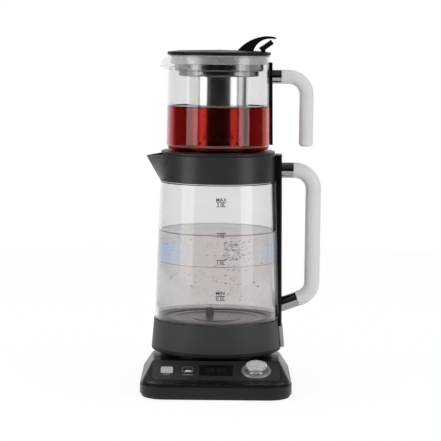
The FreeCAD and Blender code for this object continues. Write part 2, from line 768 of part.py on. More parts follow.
# ---- Steam ring and teapot -------------------------------------------------------------------------
def make_steam_ring():
    skirt_out = head_radius - head_wall - 0.4
    skirt_in = skirt_out - 2.0
    ring = turned([(ring_bore, ring_top - 3.4, 0.8), (skirt_in, ring_top - 3.4, 1.0), (skirt_in, 257, 0.5),
                   (skirt_out, 257, 0.5), (skirt_out, ring_seat), (ring_radius, ring_seat, 0.8),
                   (ring_radius, ring_top, 1.4), (ring_bore, ring_top, 0.8)])
    groove = turned([(skirt_out - 1.0, 260), (skirt_out + 1, 260), (skirt_out + 1, 262.4),
                     (skirt_out - 1.0, 262.4)])
    slot = Part.makeBox(12, 28, 14, Vector(-skirt_out - 2, -14, 250))
    keep("steam_ring", ring.cut(groove).cut(slot))
    gasket = turned([(skirt_out - 1.0, 260), (skirt_out + 0.1, 260), (skirt_out + 0.1, 262.4),
                     (skirt_out - 1.0, 262.4)])
    keep("ring_gasket", gasket.cut(slot))


def drawn_lip(radius, root, crown, wall, nose):
    """Wide pouring lip drawn out of a round wall: root and crown are (reach, height) of its edge.

    At each height two arcs leave the circle as tangents, pot_spout_spread degrees either side of
    the tip, and meet in a small round nose.
    """
    spread = math.radians(pot_spout_spread)
    inside = radius - wall
    sections = []
    for tip, z in (root, crown):
        reach = tip - wall
        centre_distance = (reach**2 - inside**2) / (2 * (inside - reach * math.cos(spread)))
        arc_radius = inside + centre_distance
        centre = Vector(math.cos(spread), -math.sin(spread), 0) * centre_distance
        edges = []
        marks = []
        for y in (inside * math.sin(spread), (inside * math.sin(spread) + nose) / 2, nose):
            marks.append(centre.x - math.sqrt(arc_radius**2 - (y - centre.y) ** 2))
            marks.append(y)
        touch, middle, end = [(marks[index], marks[index + 1]) for index in (0, 2, 4)]
        left = [Vector(x, y, z) for x, y in (touch, middle, end)]
        right = [Vector(x, -y, z) for x, y in (end, middle, touch)]
        tip_point = Vector(end[0] - 0.4 * nose, 0, z)
        edges.append(Part.Arc(*left).toShape())
        edges.append(Part.Arc(left[2], tip_point, right[0]).toShape())
        edges.append(Part.Arc(*right).toShape())
        edges.append(Part.LineSegment(right[2], left[0]).toShape())
        sections.append(Part.Wire(edges))
    return Part.makeLoft(sections, True, True)


def make_teapot_glass():
    jar = turned([(0, pot_bottom), (pot_foot_radius, pot_bottom, pot_corner),
                  (pot_rim_radius, pot_rim, 1.2), (pot_rim_radius - pot_wall, pot_rim, 1.2),
                  (pot_foot_radius - pot_wall, pot_bottom + 3, pot_corner - pot_wall),
                  (0, pot_bottom + 3)])
    sunk = 0.3
    floor_rise = 1.2
    root = (pot_rim_radius + 0.6, pot_spout_root_z)
    tilt = (pot_spout_reach - root[0]) / (pot_spout_tip_z - root[1])
    crown = (root[0] + tilt * (pot_rim - root[1]), pot_rim)
    outside = drawn_lip(pot_rim_radius - sunk, root, crown, 0.0, 3.0)
    channel = drawn_lip(pot_rim_radius - sunk, root, crown, pot_wall, 2.0)
    channel.translate(UP * floor_rise)
    start = upright(pot_spout_start, pot_rim)
    tip = upright(-pot_spout_reach, pot_spout_tip_z)
    far = -2 * pot_spout_reach
    corners = [tip, upright(far, pot_spout_tip_z), upright(far, pot_rim + 10),
               upright(pot_spout_start, pot_rim + 10), start]
    edges = [Part.Arc(start, upright(*pot_spout_crest), tip).toShape()]
    for here, follow in zip(corners, corners[1:]):
        edges.append(Part.LineSegment(here, follow).toShape())
    above = Part.Face(Part.Wire(edges))
    above.translate(Vector(0, -90, 0))
    jar = jar.fuse(outside.cut(cylinder(pot_rim_radius - pot_wall / 2, 340, 400)))
    jar = jar.cut(channel).cut(above.extrude(Vector(0, 180, 0)))
    keep("teapot_glass", jar.removeSplitter())


# ---- Infuser -------------------------------------------------------------------------------------
def make_infuser():
    inside = pot_rim_radius - pot_wall - 0.5
    skirt = inside - 1.5
    flange_low = pot_rim + 0.3
    flange_high = pot_rim + 1.3
    ring = turned([(skirt, 371.0), (inside, 371.0, 0.5), (inside, flange_low),
                   (pot_rim_radius, flange_low, 0.3), (pot_rim_radius, flange_high, 0.4),
                   (51.2, flange_high, 0.4), (51.2, flange_low - 0.3), (skirt, flange_low - 0.3),
                   (skirt, 374.0), (52.0, 374.0), (52.0, 372.5), (skirt, 372.5)])
    pour = Part.makeBox(16, 30, 4.5, Vector(-inside - 3, -15, 374.5))
    keep("infuser_ring", ring.cut(pour))

    collar = turned([(infuser_radius - sheet, step_low_z), (step_low_radius, step_low_z, 1.6),
                     (step_low_radius, step_high_z), (step_high_radius, step_high_z, 1.6),
                     (step_high_radius, hanger_z), (55.0, hanger_z), (55.0, hanger_z + 1.0),
                     (step_high_radius - 1, hanger_z + 1.0, 1.0), (step_high_radius - 1, step_high_z + 1, 0.8),
                     (step_low_radius - 1, step_high_z + 1), (step_low_radius - 1, step_low_z + 1, 0.8),
                     (infuser_radius - sheet, step_low_z + 1)])
    keep("infuser_collar", collar)

    tube = turned([(infuser_radius - sheet, sieve_top), (infuser_radius, sieve_top),
                   (infuser_radius, step_low_z), (infuser_radius - sheet, step_low_z)])
    keep("infuser_tube", tube)

    sieve = turned([(0, infuser_bottom), (infuser_radius, infuser_bottom, 2.0), (infuser_radius, sieve_top),
                    (infuser_radius - sheet, sieve_top), (infuser_radius - sheet, infuser_bottom + sheet, 1.2),
                    (0, infuser_bottom + sheet)])
    holes = []
    for row in range(wall_hole_rows):
        for index in range(wall_holes):
            angle = (index + row / 2) * 360.0 / wall_holes
            out = Vector(math.cos(math.radians(angle)), math.sin(math.radians(angle)), 0)
            start = out * (infuser_radius - 3) + Vector(0, 0, infuser_bottom + 5.5 + row * wall_hole_pitch)
            holes.append(Part.makeCylinder(hole_radius, 6, start, out))
    for ring_index in range(1, floor_hole_rings + 1):
        count = 6 * ring_index
        for index in range(count):
            angle = math.radians(index * 360.0 / count)
            reach = ring_index * floor_ring_pitch
            holes.append(cylinder(hole_radius, 270, 280, reach * math.cos(angle), reach * math.sin(angle)))
    keep("infuser_sieve", sieve.cut(Part.makeCompound(holes)))


# ---- Lid ---------------------------------------------------------------------------------------
pin_x = latch_foot[0] + pin_along * math.cos(math.radians(latch_tilt)) - (
    latch_thickness / 2 * math.sin(math.radians(latch_tilt))
)
pin_z = latch_foot[1] + pin_along * math.sin(math.radians(latch_tilt)) + (
    latch_thickness / 2 * math.cos(math.radians(latch_tilt))
)


def cross_pin(radius, half_length):
    """Round bar across the object on the latch's pivot line."""
    return Part.makeCylinder(radius, 2 * half_length, Vector(pin_x, -half_length, pin_z), Vector(0, 1, 0))


def make_lid():
    rim_seat = lid_bottom + 1.6
    disc = turned([(0, rim_seat), (50.7, rim_seat), (50.7, lid_bottom), (lid_radius, lid_bottom, 0.5),
                   (lid_radius, lid_rim_z, 0.9), (46, lid_top - 1.0, 30.0), (0, lid_top)])
    plug = turned([(48.8, 375.5), (50.7, 375.5, 0.6), (50.7, rim_seat), (48.8, rim_seat)])
    keep("lid_disc", disc)
    keep("lid_plug", plug)

    sink = lid_top - 2.2
    front = upright(horn_front_x, sink)
    rear = upright(horn_rear_x, sink)
    edges = [Part.LineSegment(rear, front).toShape()]
    here = front
    for through, end in (horn_rise, horn_crown, horn_nose, horn_under):
        follow = upright(end[0], horn_top - end[1])
        edges.append(Part.Arc(here, upright(through[0], horn_top - through[1]), follow).toShape())
        here = follow
    edges.append(Part.Arc(here, upright(horn_throat[0], horn_top - horn_throat[1]), rear).toShape())
    side = Part.Face(Part.Wire(edges))
    side.translate(Vector(0, -horn_width, 0))
    half = horn_width / 2
    tip = horn_tip_width / 2
    root_x = horn_front_x - 8.6
    waist_x = horn_throat[0] - 1.0
    tip_x = horn_nose[0][0] + 1.6
    plan = [(root_x, -half, 4), (waist_x, -half, 20), (tip_x, -tip, 5), (tip_x, tip, 5),
            (waist_x, half, 20), (root_x, half, 4)]
    horn = side.extrude(Vector(0, 2 * horn_width, 0)).common(raised(plan, sink - 5, horn_top + 5))
    keep("lid_horn", horn.cut(disc))

    lugs = []
    for y in (-lug_y - lug_thickness, lug_y):
        eye = Part.makeCylinder(lug_radius, lug_thickness, Vector(pin_x, y, pin_z), Vector(0, 1, 0))
        leg = Part.makeBox(2 * lug_radius, lug_thickness, pin_z - sink, Vector(pin_x - lug_radius, y, sink))
        lugs.append(eye.fuse(leg).cut(disc).cut(cross_pin(pin_radius + running_fit, horn_width)))
    keep("latch_lugs", Part.makeCompound(lugs))


def make_latch():
    """Thumb latch under the horn: a narrow root between the lugs and a wide ribbed pad."""
    root_end = 6.6
    half = lug_y - button_gap
    reach = lug_y + lug_thickness
    outline = [(0, 0, 1.6), (latch_length, 0, 0.8), (latch_length, latch_thickness, 1.0),
               (-latch_overhang, latch_thickness, 1.2)]
    blade = Part.Face(rounded(outline, upright))
    blade.translate(Vector(0, -reach, 0))
    blade = blade.extrude(Vector(0, 2 * reach, 0))
    root_start = -latch_overhang - 1
    root_side = Part.makeBox(root_end - root_start, reach - half + 1, 20, Vector(root_start, half, -5))
    other_side = root_side.mirror(Vector(0, 0, 0), Vector(0, 1, 0))
    grooves = []
    for index in range(rib_count):
        start = Vector(3.6 + index * rib_pitch, -20, latch_thickness - 0.7)
        grooves.append(Part.makeBox(rib_pitch / 2, 40, 2, start))
    blade = blade.cut(Part.makeCompound(grooves)).cut(root_side).cut(other_side)
    blade.rotate(Vector(0, 0, 0), Vector(0, 1, 0), -latch_tilt)
    blade.translate(upright(latch_foot[0], latch_foot[1]))
    keep("lid_latch", blade.cut(cross_pin(pin_radius, horn_width)))
    keep("latch_pin", cross_pin(pin_radius, reach))


make_base_shells()
make_base_hardware()
make_control_panel()
make_panel_controls()
make_coupler()
make_kettle_bottom()
make_kettle_head()
make_kettle_handle()
make_steam_ring()
make_teapot_glass()
make_pot_handle()
make_infuser()
make_lid()
make_latch()

os.makedirs("parts", exist_ok=True)
for name, shape in nodes.items():
    shape.translate(Vector(-middle_x, -middle_y, 0))
    shape.exportStep(f"parts/{name}.step")
    print(name, "valid" if shape.isValid() else "INVALID", len(shape.Solids), round(shape.Volume))
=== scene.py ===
import json
import math
import random

import bpy
from mathutils import Matrix, Vector


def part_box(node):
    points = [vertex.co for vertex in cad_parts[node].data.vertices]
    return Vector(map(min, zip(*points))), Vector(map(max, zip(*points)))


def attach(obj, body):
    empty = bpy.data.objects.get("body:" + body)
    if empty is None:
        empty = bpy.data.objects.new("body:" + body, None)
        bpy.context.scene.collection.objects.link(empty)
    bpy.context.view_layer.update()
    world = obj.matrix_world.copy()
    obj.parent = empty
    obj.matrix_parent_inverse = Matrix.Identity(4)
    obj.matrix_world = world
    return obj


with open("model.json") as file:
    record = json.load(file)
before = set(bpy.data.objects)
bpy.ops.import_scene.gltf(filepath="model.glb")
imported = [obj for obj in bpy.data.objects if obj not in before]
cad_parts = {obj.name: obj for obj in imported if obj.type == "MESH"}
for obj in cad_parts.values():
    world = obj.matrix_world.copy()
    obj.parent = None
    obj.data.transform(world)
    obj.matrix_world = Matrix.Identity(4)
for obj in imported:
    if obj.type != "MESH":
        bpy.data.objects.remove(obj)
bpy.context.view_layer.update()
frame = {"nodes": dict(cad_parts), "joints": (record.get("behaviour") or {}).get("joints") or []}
mm = 0.001

kettleLow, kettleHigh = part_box("kettle_glass")
kettleAxis = Vector(((kettleLow.x + kettleHigh.x) / 2, (kettleLow.y + kettleHigh.y) / 2, 0))


# small helpers for modelling
def clearSelection():
    if bpy.context.object and bpy.context.object.mode != "OBJECT":
        bpy.ops.object.mode_set(mode="OBJECT")
    bpy.ops.object.select_all(action="DESELECT")


def named(name):
    piece = bpy.context.object
    piece.name = piece.data.name = name
    return piece


def activate(*pieces):
    clearSelection()
    for piece in pieces:
        piece.select_set(True)
    bpy.context.view_layer.objects.active = pieces[0]


def settle(piece, smoothAngle=30):
    activate(piece)
    bpy.ops.object.transform_apply(location=True, rotation=True, scale=True)
    bpy.ops.object.shade_smooth_by_angle(angle=math.radians(smoothAngle))


def applyModifiers(piece):
    activate(piece)
    for modifier in list(piece.modifiers):
        bpy.ops.object.modifier_apply(modifier=modifier.name)


def joined(pieces, name):
    activate(*pieces)
    if len(pieces) > 1:
        bpy.ops.object.join()
    return named(name)


def finished(piece, body, material):
    piece.data.materials.clear()
    piece.data.materials.append(material)
    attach(piece, body)


def scattered(source, places, name):
    # copies of one small piece, each with its own mesh, joined into one object
    copies = []
    for place, size in places:
        copy = source.copy()
        copy.data = source.data.copy()
        bpy.context.collection.objects.link(copy)
        copy.location = place
        copy.scale = size
        copies.append(copy)
    bpy.data.objects.remove(source)
    piece = joined(copies, name)
    settle(piece, 60)
    return piece


def turnedProfile(name, points, steps=128):
    # points are (radius, height); they start and end on the axis, or close on themselves
    clearSelection()
    bpy.ops.mesh.primitive_plane_add(size=mm, location=kettleAxis)
    piece = named(name)
    bpy.ops.object.mode_set(mode="EDIT")
    bpy.ops.mesh.select_all(action="SELECT")
    bpy.ops.mesh.merge(type="CENTER")
    bpy.ops.transform.translate(value=(points[0][0], 0, points[0][1]))
    for (radius, height), (nextRadius, nextHeight) in zip(points, points[1:]):
        step = (nextRadius - radius, 0, nextHeight - height)
        bpy.ops.mesh.extrude_region_move(TRANSFORM_OT_translate={"value": step})
    bpy.ops.mesh.select_all(action="SELECT")
    bpy.ops.mesh.spin(steps=steps, angle=math.tau, center=kettleAxis, axis=(0, 0, 1))
    bpy.ops.mesh.select_all(action="SELECT")
    bpy.ops.mesh.remove_doubles(threshold=0.01 * mm)
    bpy.ops.mesh.normals_make_consistent(inside=False)
    settle(piece)
    return piece


# camera, measured from the kettle's axis, with its angles in degrees
view = {"distance": 1984 * mm, "height": 401.2 * mm, "pitch": 6.137, "yaw": -0.102, "roll": 0.592,
        "lens": 138.6, "sensor": 36, "nearest": 0.05, "furthest": 100}


def makeCamera():
    clearSelection()
    bpy.ops.object.camera_add(location=kettleAxis + Vector((0, -view["distance"], view["height"])))
    camera = bpy.context.object
    turn = (Matrix.Rotation(math.radians(view["yaw"]), 4, "Z")
            @ Matrix.Rotation(math.radians(90 - view["pitch"]), 4, "X")
            @ Matrix.Rotation(math.radians(view["roll"]), 4, "Z"))
    camera.rotation_euler = turn.to_euler()
    camera.data.sensor_width = view["sensor"]
    camera.data.lens = view["lens"]
    camera.data.clip_start = view["nearest"]
    camera.data.clip_end = view["furthest"]
    bpy.context.scene.camera = camera


# studio: white floor and background, two tall softboxes and one overhead
studio = {"floorRadius": 1.3, "floorWhite": 0.96, "floorGlow": 0.88, "fill": 0.85, "backWhite": 1.0,
          "frontDark": 0.01, "outsideEdges": (0.4, 0.95), "insideEdges": (-0.58, -0.05), "topLight": 0.1,
          "topEdges": (0.15, 0.8), "floorSides": 96}
softboxes = [
    # name, direction from the camera side (degrees, left negative), distance, width, height,
    # height of the centre, radiance
    ("softboxLeft", -60, 1.5, 0.74, 1.25, 0.62, 2.0),
    ("softboxRight", 58, 1.5, 0.68, 1.25, 0.62, 1.9),
]
overhead = {"height": 1.7, "size": 1.5, "radiance": 0.75}


def linkNodes(tree, pairs):
    for start, end in pairs:
        tree.links.new(start, end)


def addNode(tree, kind, settings=None, **values):
    node = tree.nodes.new("ShaderNode" + kind)
    for name, value in (settings or {}).items():
        setattr(node, name, value)
    for name, value in values.items():
        node.inputs[name.replace("_", " ")].default_value = value
    return node


def rangeNode(tree, edges, ends=(0.0, 1.0), settings=None):
    # carries a value between the two edges over to between the two ends
    return addNode(tree, "MapRange", settings, From_Min=edges[0], From_Max=edges[1], To_Min=ends[0],
                   To_Max=ends[1])


def multiplyNode(tree):
    # multiplies the colours at inputs 6 and 7 and gives the result at output 2
    node = addNode(tree, "Mix", {"data_type": "RGBA", "blend_type": "MULTIPLY"})
    node.inputs[0].default_value = 1
    return node


def makeSoftbox(name, direction, distance, width, height, centreHeight, radiance):
    clearSelection()
    angle = math.radians(direction)
    place = kettleAxis + Vector((math.sin(angle) * distance, -math.cos(angle) * distance, centreHeight))
    bpy.ops.object.light_add(type="AREA", location=place)
    lamp = bpy.context.object
    lamp.name = name
    lamp.data.shape = "RECTANGLE"
    lamp.data.size = width
    lamp.data.size_y = height
    lamp.data.energy = radiance * math.pi * width * height
    target = kettleAxis + Vector((0, 0, centreHeight))
    lamp.rotation_euler = (target - place).to_track_quat("-Z", "Y").to_euler()
    lamp.visible_camera = False


def makeOverhead():
    clearSelection()
    bpy.ops.object.light_add(type="AREA", location=kettleAxis + Vector((0, 0, overhead["height"])))
    lamp = bpy.context.object
    lamp.name = "softboxTop"
    lamp.data.shape = "DISK"
    lamp.data.size = overhead["size"]
    lamp.data.energy = overhead["radiance"] * math.pi * math.pi * overhead["size"] ** 2 / 4
    lamp.visible_camera = False
    lamp.visible_glossy = False


def makeFloor():
    clearSelection()
    bpy.ops.mesh.primitive_circle_add(vertices=studio["floorSides"], radius=studio["floorRadius"],
                                      fill_type="NGON")
    floor = named("studioFloor")
    material = bpy.data.materials.new("studioFloorWhite")
    material.use_nodes = True
    tree = material.node_tree
    tree.nodes.clear()
    output = addNode(tree, "OutputMaterial")
    paper = addNode(tree, "BsdfDiffuse", Color=(studio["floorWhite"],) * 3 + (1,))
    bright = addNode(tree, "Emission", Strength=1.0)
    # the camera, metal and glass see the floor as nearly white, and it keeps the object's shadow
    seen = addNode(tree, "LightPath")
    direct = addNode(tree, "Math", {"operation": "MAXIMUM"})
    either = addNode(tree, "Math", {"operation": "MAXIMUM"})
    share = addNode(tree, "Math", {"operation": "MULTIPLY"})
    share.inputs[1].default_value = studio["floorGlow"]
    blend = addNode(tree, "MixShader")
    linkNodes(tree, [(seen.outputs["Is Camera Ray"], direct.inputs[0]),
                     (seen.outputs["Is Glossy Ray"], direct.inputs[1]),
                     (direct.outputs[0], either.inputs[0]),
                     (seen.outputs["Is Transmission Ray"], either.inputs[1]),
                     (either.outputs[0], share.inputs[0]), (share.outputs[0], blend.inputs["Fac"]),
                     (paper.outputs[0], blend.inputs[1]), (bright.outputs[0], blend.inputs[2]),
                     (blend.outputs[0], output.inputs["Surface"])])
    floor.data.materials.append(material)


def makeWorld():
    world = bpy.data.worlds.new("studioWorld")
    bpy.context.scene.world = world
    world.cycles.sampling_method = "NONE"
    world.use_nodes = True
    tree = world.node_tree
    tree.nodes.clear()
    output = addNode(tree, "OutputWorld")
    seen = addNode(tree, "LightPath")
    place = addNode(tree, "TexCoord")
    split = addNode(tree, "SeparateXYZ")
    # gloss sees a studio that is white far behind the object and dark behind the camera, and metal
    # behind glass sees the white reach further round
    room = (studio["frontDark"], studio["backWhite"])
    outside = rangeNode(tree, studio["outsideEdges"], room)
    inside = rangeNode(tree, studio["insideEdges"], room)
    behindGlass = addNode(tree, "Math", {"operation": "GREATER_THAN"})
    behindGlass.inputs[1].default_value = 0.5
    depth = addNode(tree, "Mix")
    rise = rangeNode(tree, studio["topEdges"], (0.0, studio["topLight"]))
    brighter = addNode(tree, "Math", {"operation": "MAXIMUM"})
    mirrored = addNode(tree, "Background", Color=(1, 1, 1, 1))
    clear = addNode(tree, "Background", Color=(1, 1, 1, 1), Strength=1.0)
    fill = addNode(tree, "Background", Color=(1, 1, 1, 1), Strength=studio["fill"])
    direct = addNode(tree, "Math", {"operation": "MAXIMUM"})
    bounced = addNode(tree, "Math", {"operation": "GREATER_THAN"})
    bounced.inputs[1].default_value = 0.5
    notScattered = addNode(tree, "Math", {"operation": "SUBTRACT"})
    seenClear = addNode(tree, "MixShader")
    whole = addNode(tree, "MixShader")
    linkNodes(tree, [(place.outputs["Generated"], split.inputs[0]),
                     (split.outputs["Y"], outside.inputs["Value"]),
                     (split.outputs["Y"], inside.inputs["Value"]), (outside.outputs[0], depth.inputs[2]),
                     (inside.outputs[0], depth.inputs[3]),
                     (seen.outputs["Transmission Depth"], behindGlass.inputs[0]),
                     (behindGlass.outputs[0], depth.inputs[0]),
                     (split.outputs["Z"], rise.inputs["Value"]), (depth.outputs[0], brighter.inputs[0]),
                     (rise.outputs[0], brighter.inputs[1]),
                     (brighter.outputs[0], mirrored.inputs["Strength"]),
                     (seen.outputs["Is Camera Ray"], direct.inputs[0]),
                     (seen.outputs["Is Transmission Ray"], direct.inputs[1]),
                     (seen.outputs["Glossy Depth"], bounced.inputs[0]),
                     (bounced.outputs[0], notScattered.inputs[0]),
                     (seen.outputs["Is Diffuse Ray"], notScattered.inputs[1]),
                     (direct.outputs[0], seenClear.inputs["Fac"]), (fill.outputs[0], seenClear.inputs[1]),
                     (clear.outputs[0], seenClear.inputs[2]), (notScattered.outputs[0], whole.inputs["Fac"]),
                     (seenClear.outputs[0], whole.inputs[1]), (mirrored.outputs[0], whole.inputs[2]),
                     (whole.outputs[0], output.inputs["Surface"])])


# surface effects that several finishes share
bumpHeight = 0.05 * mm
noiseSpread = (0.3, 0.7)


def startGroup(name, inputs, outputs):
    group = bpy.data.node_groups.new(name, "ShaderNodeTree")
    for label, kind, value in inputs:
        socket = group.interface.new_socket(label, in_out="INPUT", socket_type=kind)
        if value is not None:
            socket.default_value = value
    for label, kind in outputs:
        group.interface.new_socket(label, in_out="OUTPUT", socket_type=kind)
    return group, group.nodes.new("NodeGroupInput"), group.nodes.new("NodeGroupOutput")


def makeGrain():
    # spark-eroded mould texture with handling marks in the gloss
    group, start, end = startGroup(
        "mouldGrain",
        [("Vector", "NodeSocketVector", None), ("Color", "NodeSocketColor", (0.5, 0.5, 0.5, 1)),
         ("Roughness", "NodeSocketFloat", 0.4), ("Grain Size", "NodeSocketFloat", 2500),
         ("Depth", "NodeSocketFloat", 0.1), ("Smudge", "NodeSocketFloat", 0.06),
         ("Tint", "NodeSocketFloat", 0.12)],
        [("Color", "NodeSocketColor"), ("Roughness", "NodeSocketFloat"), ("Normal", "NodeSocketVector")])
    grain = addNode(group, "TexNoise", Detail=3.0, Roughness=0.6)
    bump = addNode(group, "Bump", Distance=bumpHeight)
    smudge = addNode(group, "TexNoise", Scale=22.0, Detail=4.0, Roughness=0.55)
    spread = rangeNode(group, noiseSpread, (-1.0, 1.0))
    marked = addNode(group, "Math", {"operation": "MULTIPLY_ADD"})
    speck = rangeNode(group, (0.35, 0.7))
    low = addNode(group, "Math", {"operation": "SUBTRACT"})
    low.inputs[0].default_value = 1
    shade = multiplyNode(group)
    tone = addNode(group, "Math", {"operation": "MULTIPLY_ADD"})
    linkNodes(group, [(start.outputs["Vector"], grain.inputs["Vector"]),
                      (start.outputs["Grain Size"], grain.inputs["Scale"]),
                      (grain.outputs[0], bump.inputs["Height"]),
                      (start.outputs["Depth"], bump.inputs["Strength"]),
                      (start.outputs["Vector"], smudge.inputs["Vector"]),
                      (smudge.outputs[0], spread.inputs["Value"]),
                      (spread.outputs[0], marked.inputs[0]), (start.outputs["Smudge"], marked.inputs[1]),
                      (start.outputs["Roughness"], marked.inputs[2]),
                      (grain.outputs[0], speck.inputs["Value"]), (start.outputs["Tint"], low.inputs[1]),
                      (speck.outputs[0], tone.inputs[0]), (start.outputs["Tint"], tone.inputs[1]),
                      (low.outputs[0], tone.inputs[2]), (start.outputs["Color"], shade.inputs[6]),
                      (tone.outputs[0], shade.inputs[7]), (shade.outputs[2], end.inputs["Color"]),
                      (marked.outputs[0], end.inputs["Roughness"]), (bump.outputs[0], end.inputs["Normal"])])
    return group


def makeBrushing():
    # fine parallel lines left by a brush or a lathe; the stretch says which way they run
    group, start, end = startGroup(
        "brushedLines",
        [("Vector", "NodeSocketVector", None), ("Stretch", "NodeSocketVector", (60, 60, 6000)),
         ("Color", "NodeSocketColor", (0.6, 0.6, 0.6, 1)), ("Roughness", "NodeSocketFloat", 0.25),
         ("Depth", "NodeSocketFloat", 0.1), ("Streak", "NodeSocketFloat", 0.1)],
        [("Color", "NodeSocketColor"), ("Roughness", "NodeSocketFloat"), ("Normal", "NodeSocketVector")])
    scaled = addNode(group, "VectorMath", {"operation": "MULTIPLY"})
    lines = addNode(group, "TexNoise", Scale=1.0, Detail=2.0, Roughness=0.6)
    bump = addNode(group, "Bump", Distance=bumpHeight)
    spread = rangeNode(group, noiseSpread, (-1.0, 1.0))
    gloss = addNode(group, "Math", {"operation": "MULTIPLY_ADD"})
    tone = addNode(group, "Math", {"operation": "MULTIPLY_ADD"})
    tone.inputs[2].default_value = 1
    shade = multiplyNode(group)
    linkNodes(group, [(start.outputs["Vector"], scaled.inputs[0]),
                      (start.outputs["Stretch"], scaled.inputs[1]),
                      (scaled.outputs[0], lines.inputs["Vector"]), (lines.outputs[0], bump.inputs["Height"]),
                      (start.outputs["Depth"], bump.inputs["Strength"]),
                      (lines.outputs[0], spread.inputs["Value"]),
                      (spread.outputs[0], gloss.inputs[0]), (start.outputs["Streak"], gloss.inputs[1]),
                      (start.outputs["Roughness"], gloss.inputs[2]), (spread.outputs[0], tone.inputs[0]),
                      (start.outputs["Streak"], tone.inputs[1]), (start.outputs["Color"], shade.inputs[6]),
                      (tone.outputs[0], shade.inputs[7]), (shade.outputs[2], end.inputs["Color"]),
                      (gloss.outputs[0], end.inputs["Roughness"]), (bump.outputs[0], end.inputs["Normal"])])
    return group


def makeSoftBand():
    # 1 between two edges along a value, fading out over the distance given at each
    group, start, end = startGroup(
        "softBand",
        [("Value", "NodeSocketFloat", 0.0), ("Rise Start", "NodeSocketFloat", 0.0),
         ("Rise End", "NodeSocketFloat", 0.1), ("Fall Start", "NodeSocketFloat", 0.9),
         ("Fall End", "NodeSocketFloat", 1.0)],
        [("Mask", "NodeSocketFloat")])
    smooth = {"interpolation_type": "SMOOTHSTEP"}
    rise = addNode(group, "MapRange", smooth)
    fall = addNode(group, "MapRange", smooth, To_Min=1.0, To_Max=0.0)
    both = addNode(group, "Math", {"operation": "MULTIPLY"})
    linkNodes(group, [(start.outputs["Value"], rise.inputs["Value"]),
                      (start.outputs["Value"], fall.inputs["Value"]),
                      (start.outputs["Rise Start"], rise.inputs["From Min"]),
                      (start.outputs["Rise End"], rise.inputs["From Max"]),
                      (start.outputs["Fall Start"], fall.inputs["From Min"]),
                      (start.outputs["Fall End"], fall.inputs["From Max"]),
                      (rise.outputs[0], both.inputs[0]), (fall.outputs[0], both.inputs[1]),
                      (both.outputs[0], end.inputs["Mask"])])
    return group


mouldGrain = makeGrain()
brushedLines = makeBrushing()
softBand = makeSoftBand()


def startMaterial(name, **values):
    material = bpy.data.materials.new(name)
    material.use_nodes = True
    tree = material.node_tree
    shader = tree.nodes["Principled BSDF"]
    for label, value in values.items():
        shader.inputs[label.replace("_", " ")].default_value = value
    return material, tree, shader


def placeGroup(tree, shader, group, **values):
    node = addNode(tree, "Group", {"node_tree": group}, **values)
    coordinate = addNode(tree, "TexCoord")
    tree.links.new(coordinate.outputs["Object"], node.inputs["Vector"])
    linkNodes(tree, [(node.outputs["Color"], shader.inputs["Base Color"]),
                     (node.outputs["Roughness"], shader.inputs["Roughness"]),
                     (node.outputs["Normal"], shader.inputs["Normal"])])
    return node


def placeBand(tree, value, edges):
    # edges are rise start, rise end, fall start and fall end in metres
    node = addNode(tree, "Group", {"node_tree": softBand})
    for label, edge in zip(("Rise Start", "Rise End", "Fall Start", "Fall End"), edges):
        node.inputs[label].default_value = edge
    tree.links.new(value, node.inputs["Value"])
    return node.outputs["Mask"]


def kettlePlace(tree):
    # object coordinates measured from the kettle's axis, split into x, y and z
    coordinate = addNode(tree, "TexCoord")
    centred = addNode(tree, "Mapping", Location=-kettleAxis)
    split = addNode(tree, "SeparateXYZ")
    linkNodes(tree, [(coordinate.outputs["Object"], centred.inputs["Vector"]),
                     (centred.outputs[0], split.inputs[0])])
    return split.outputs


def axisReach(tree, place):
    # distance from the kettle's axis
    flat = addNode(tree, "CombineXYZ")
    reach = addNode(tree, "VectorMath", {"operation": "LENGTH"})
    linkNodes(tree, [(place["X"], flat.inputs["X"]), (place["Y"], flat.inputs["Y"]),
                     (flat.outputs[0], reach.inputs[0])])
    return reach.outputs["Value"]


def mixColors(tree, factor, first, second):
    blend = addNode(tree, "Mix", {"data_type": "RGBA"})
    blend.inputs[6].default_value = (*first, 1)
    blend.inputs[7].default_value = (*second, 1)
    tree.links.new(factor, blend.inputs[0])
    return blend.outputs[2]


def mouldedPlastic(name, color, roughness, depth=0.1, grainSize=2500, coat=0.0, smudge=0.05, tint=0.12,
                   shine=0.5):
    material, tree, shader = startMaterial(name, IOR=1.5, Coat_Weight=coat, Coat_Roughness=0.12,
                                           Specular_IOR_Level=shine)
    placeGroup(tree, shader, mouldGrain, Color=(*color, 1), Roughness=roughness, Depth=depth,
               Grain_Size=grainSize, Smudge=smudge, Tint=tint)
    return material


def brushedMetal(name, color, roughness, stretch, depth=0.08, streak=0.06, metallic=1.0):
    material, tree, shader = startMaterial(name, Metallic=metallic)
    placeGroup(tree, shader, brushedLines, Color=(*color, 1), Roughness=roughness, Stretch=stretch,
               Depth=depth, Streak=streak)
    return material


def clearGlass(name, tint, ior, shadowTint=0.97, gloss=0.03):
    # lamps shine through the wall, so what stands inside is lit
    material, tree, shader = startMaterial(name, Base_Color=(*tint, 1), Transmission_Weight=1.0,
                                           Roughness=0.0, IOR=ior, Coat_Weight=0.0, Coat_Roughness=gloss)
    seen = addNode(tree, "LightPath")
    through = addNode(tree, "BsdfTransparent", Color=(shadowTint, shadowTint, shadowTint, 1))
    blend = addNode(tree, "MixShader")
    linkNodes(tree, [(seen.outputs["Is Shadow Ray"], blend.inputs["Fac"]),
                     (shader.outputs[0], blend.inputs[1]), (through.outputs[0], blend.inputs[2]),
                     (blend.outputs[0], tree.nodes["Material Output"].inputs["Surface"])])
    return material


glossEdge = 0.3 * mm
neverFalls = (1.0, 2.0)


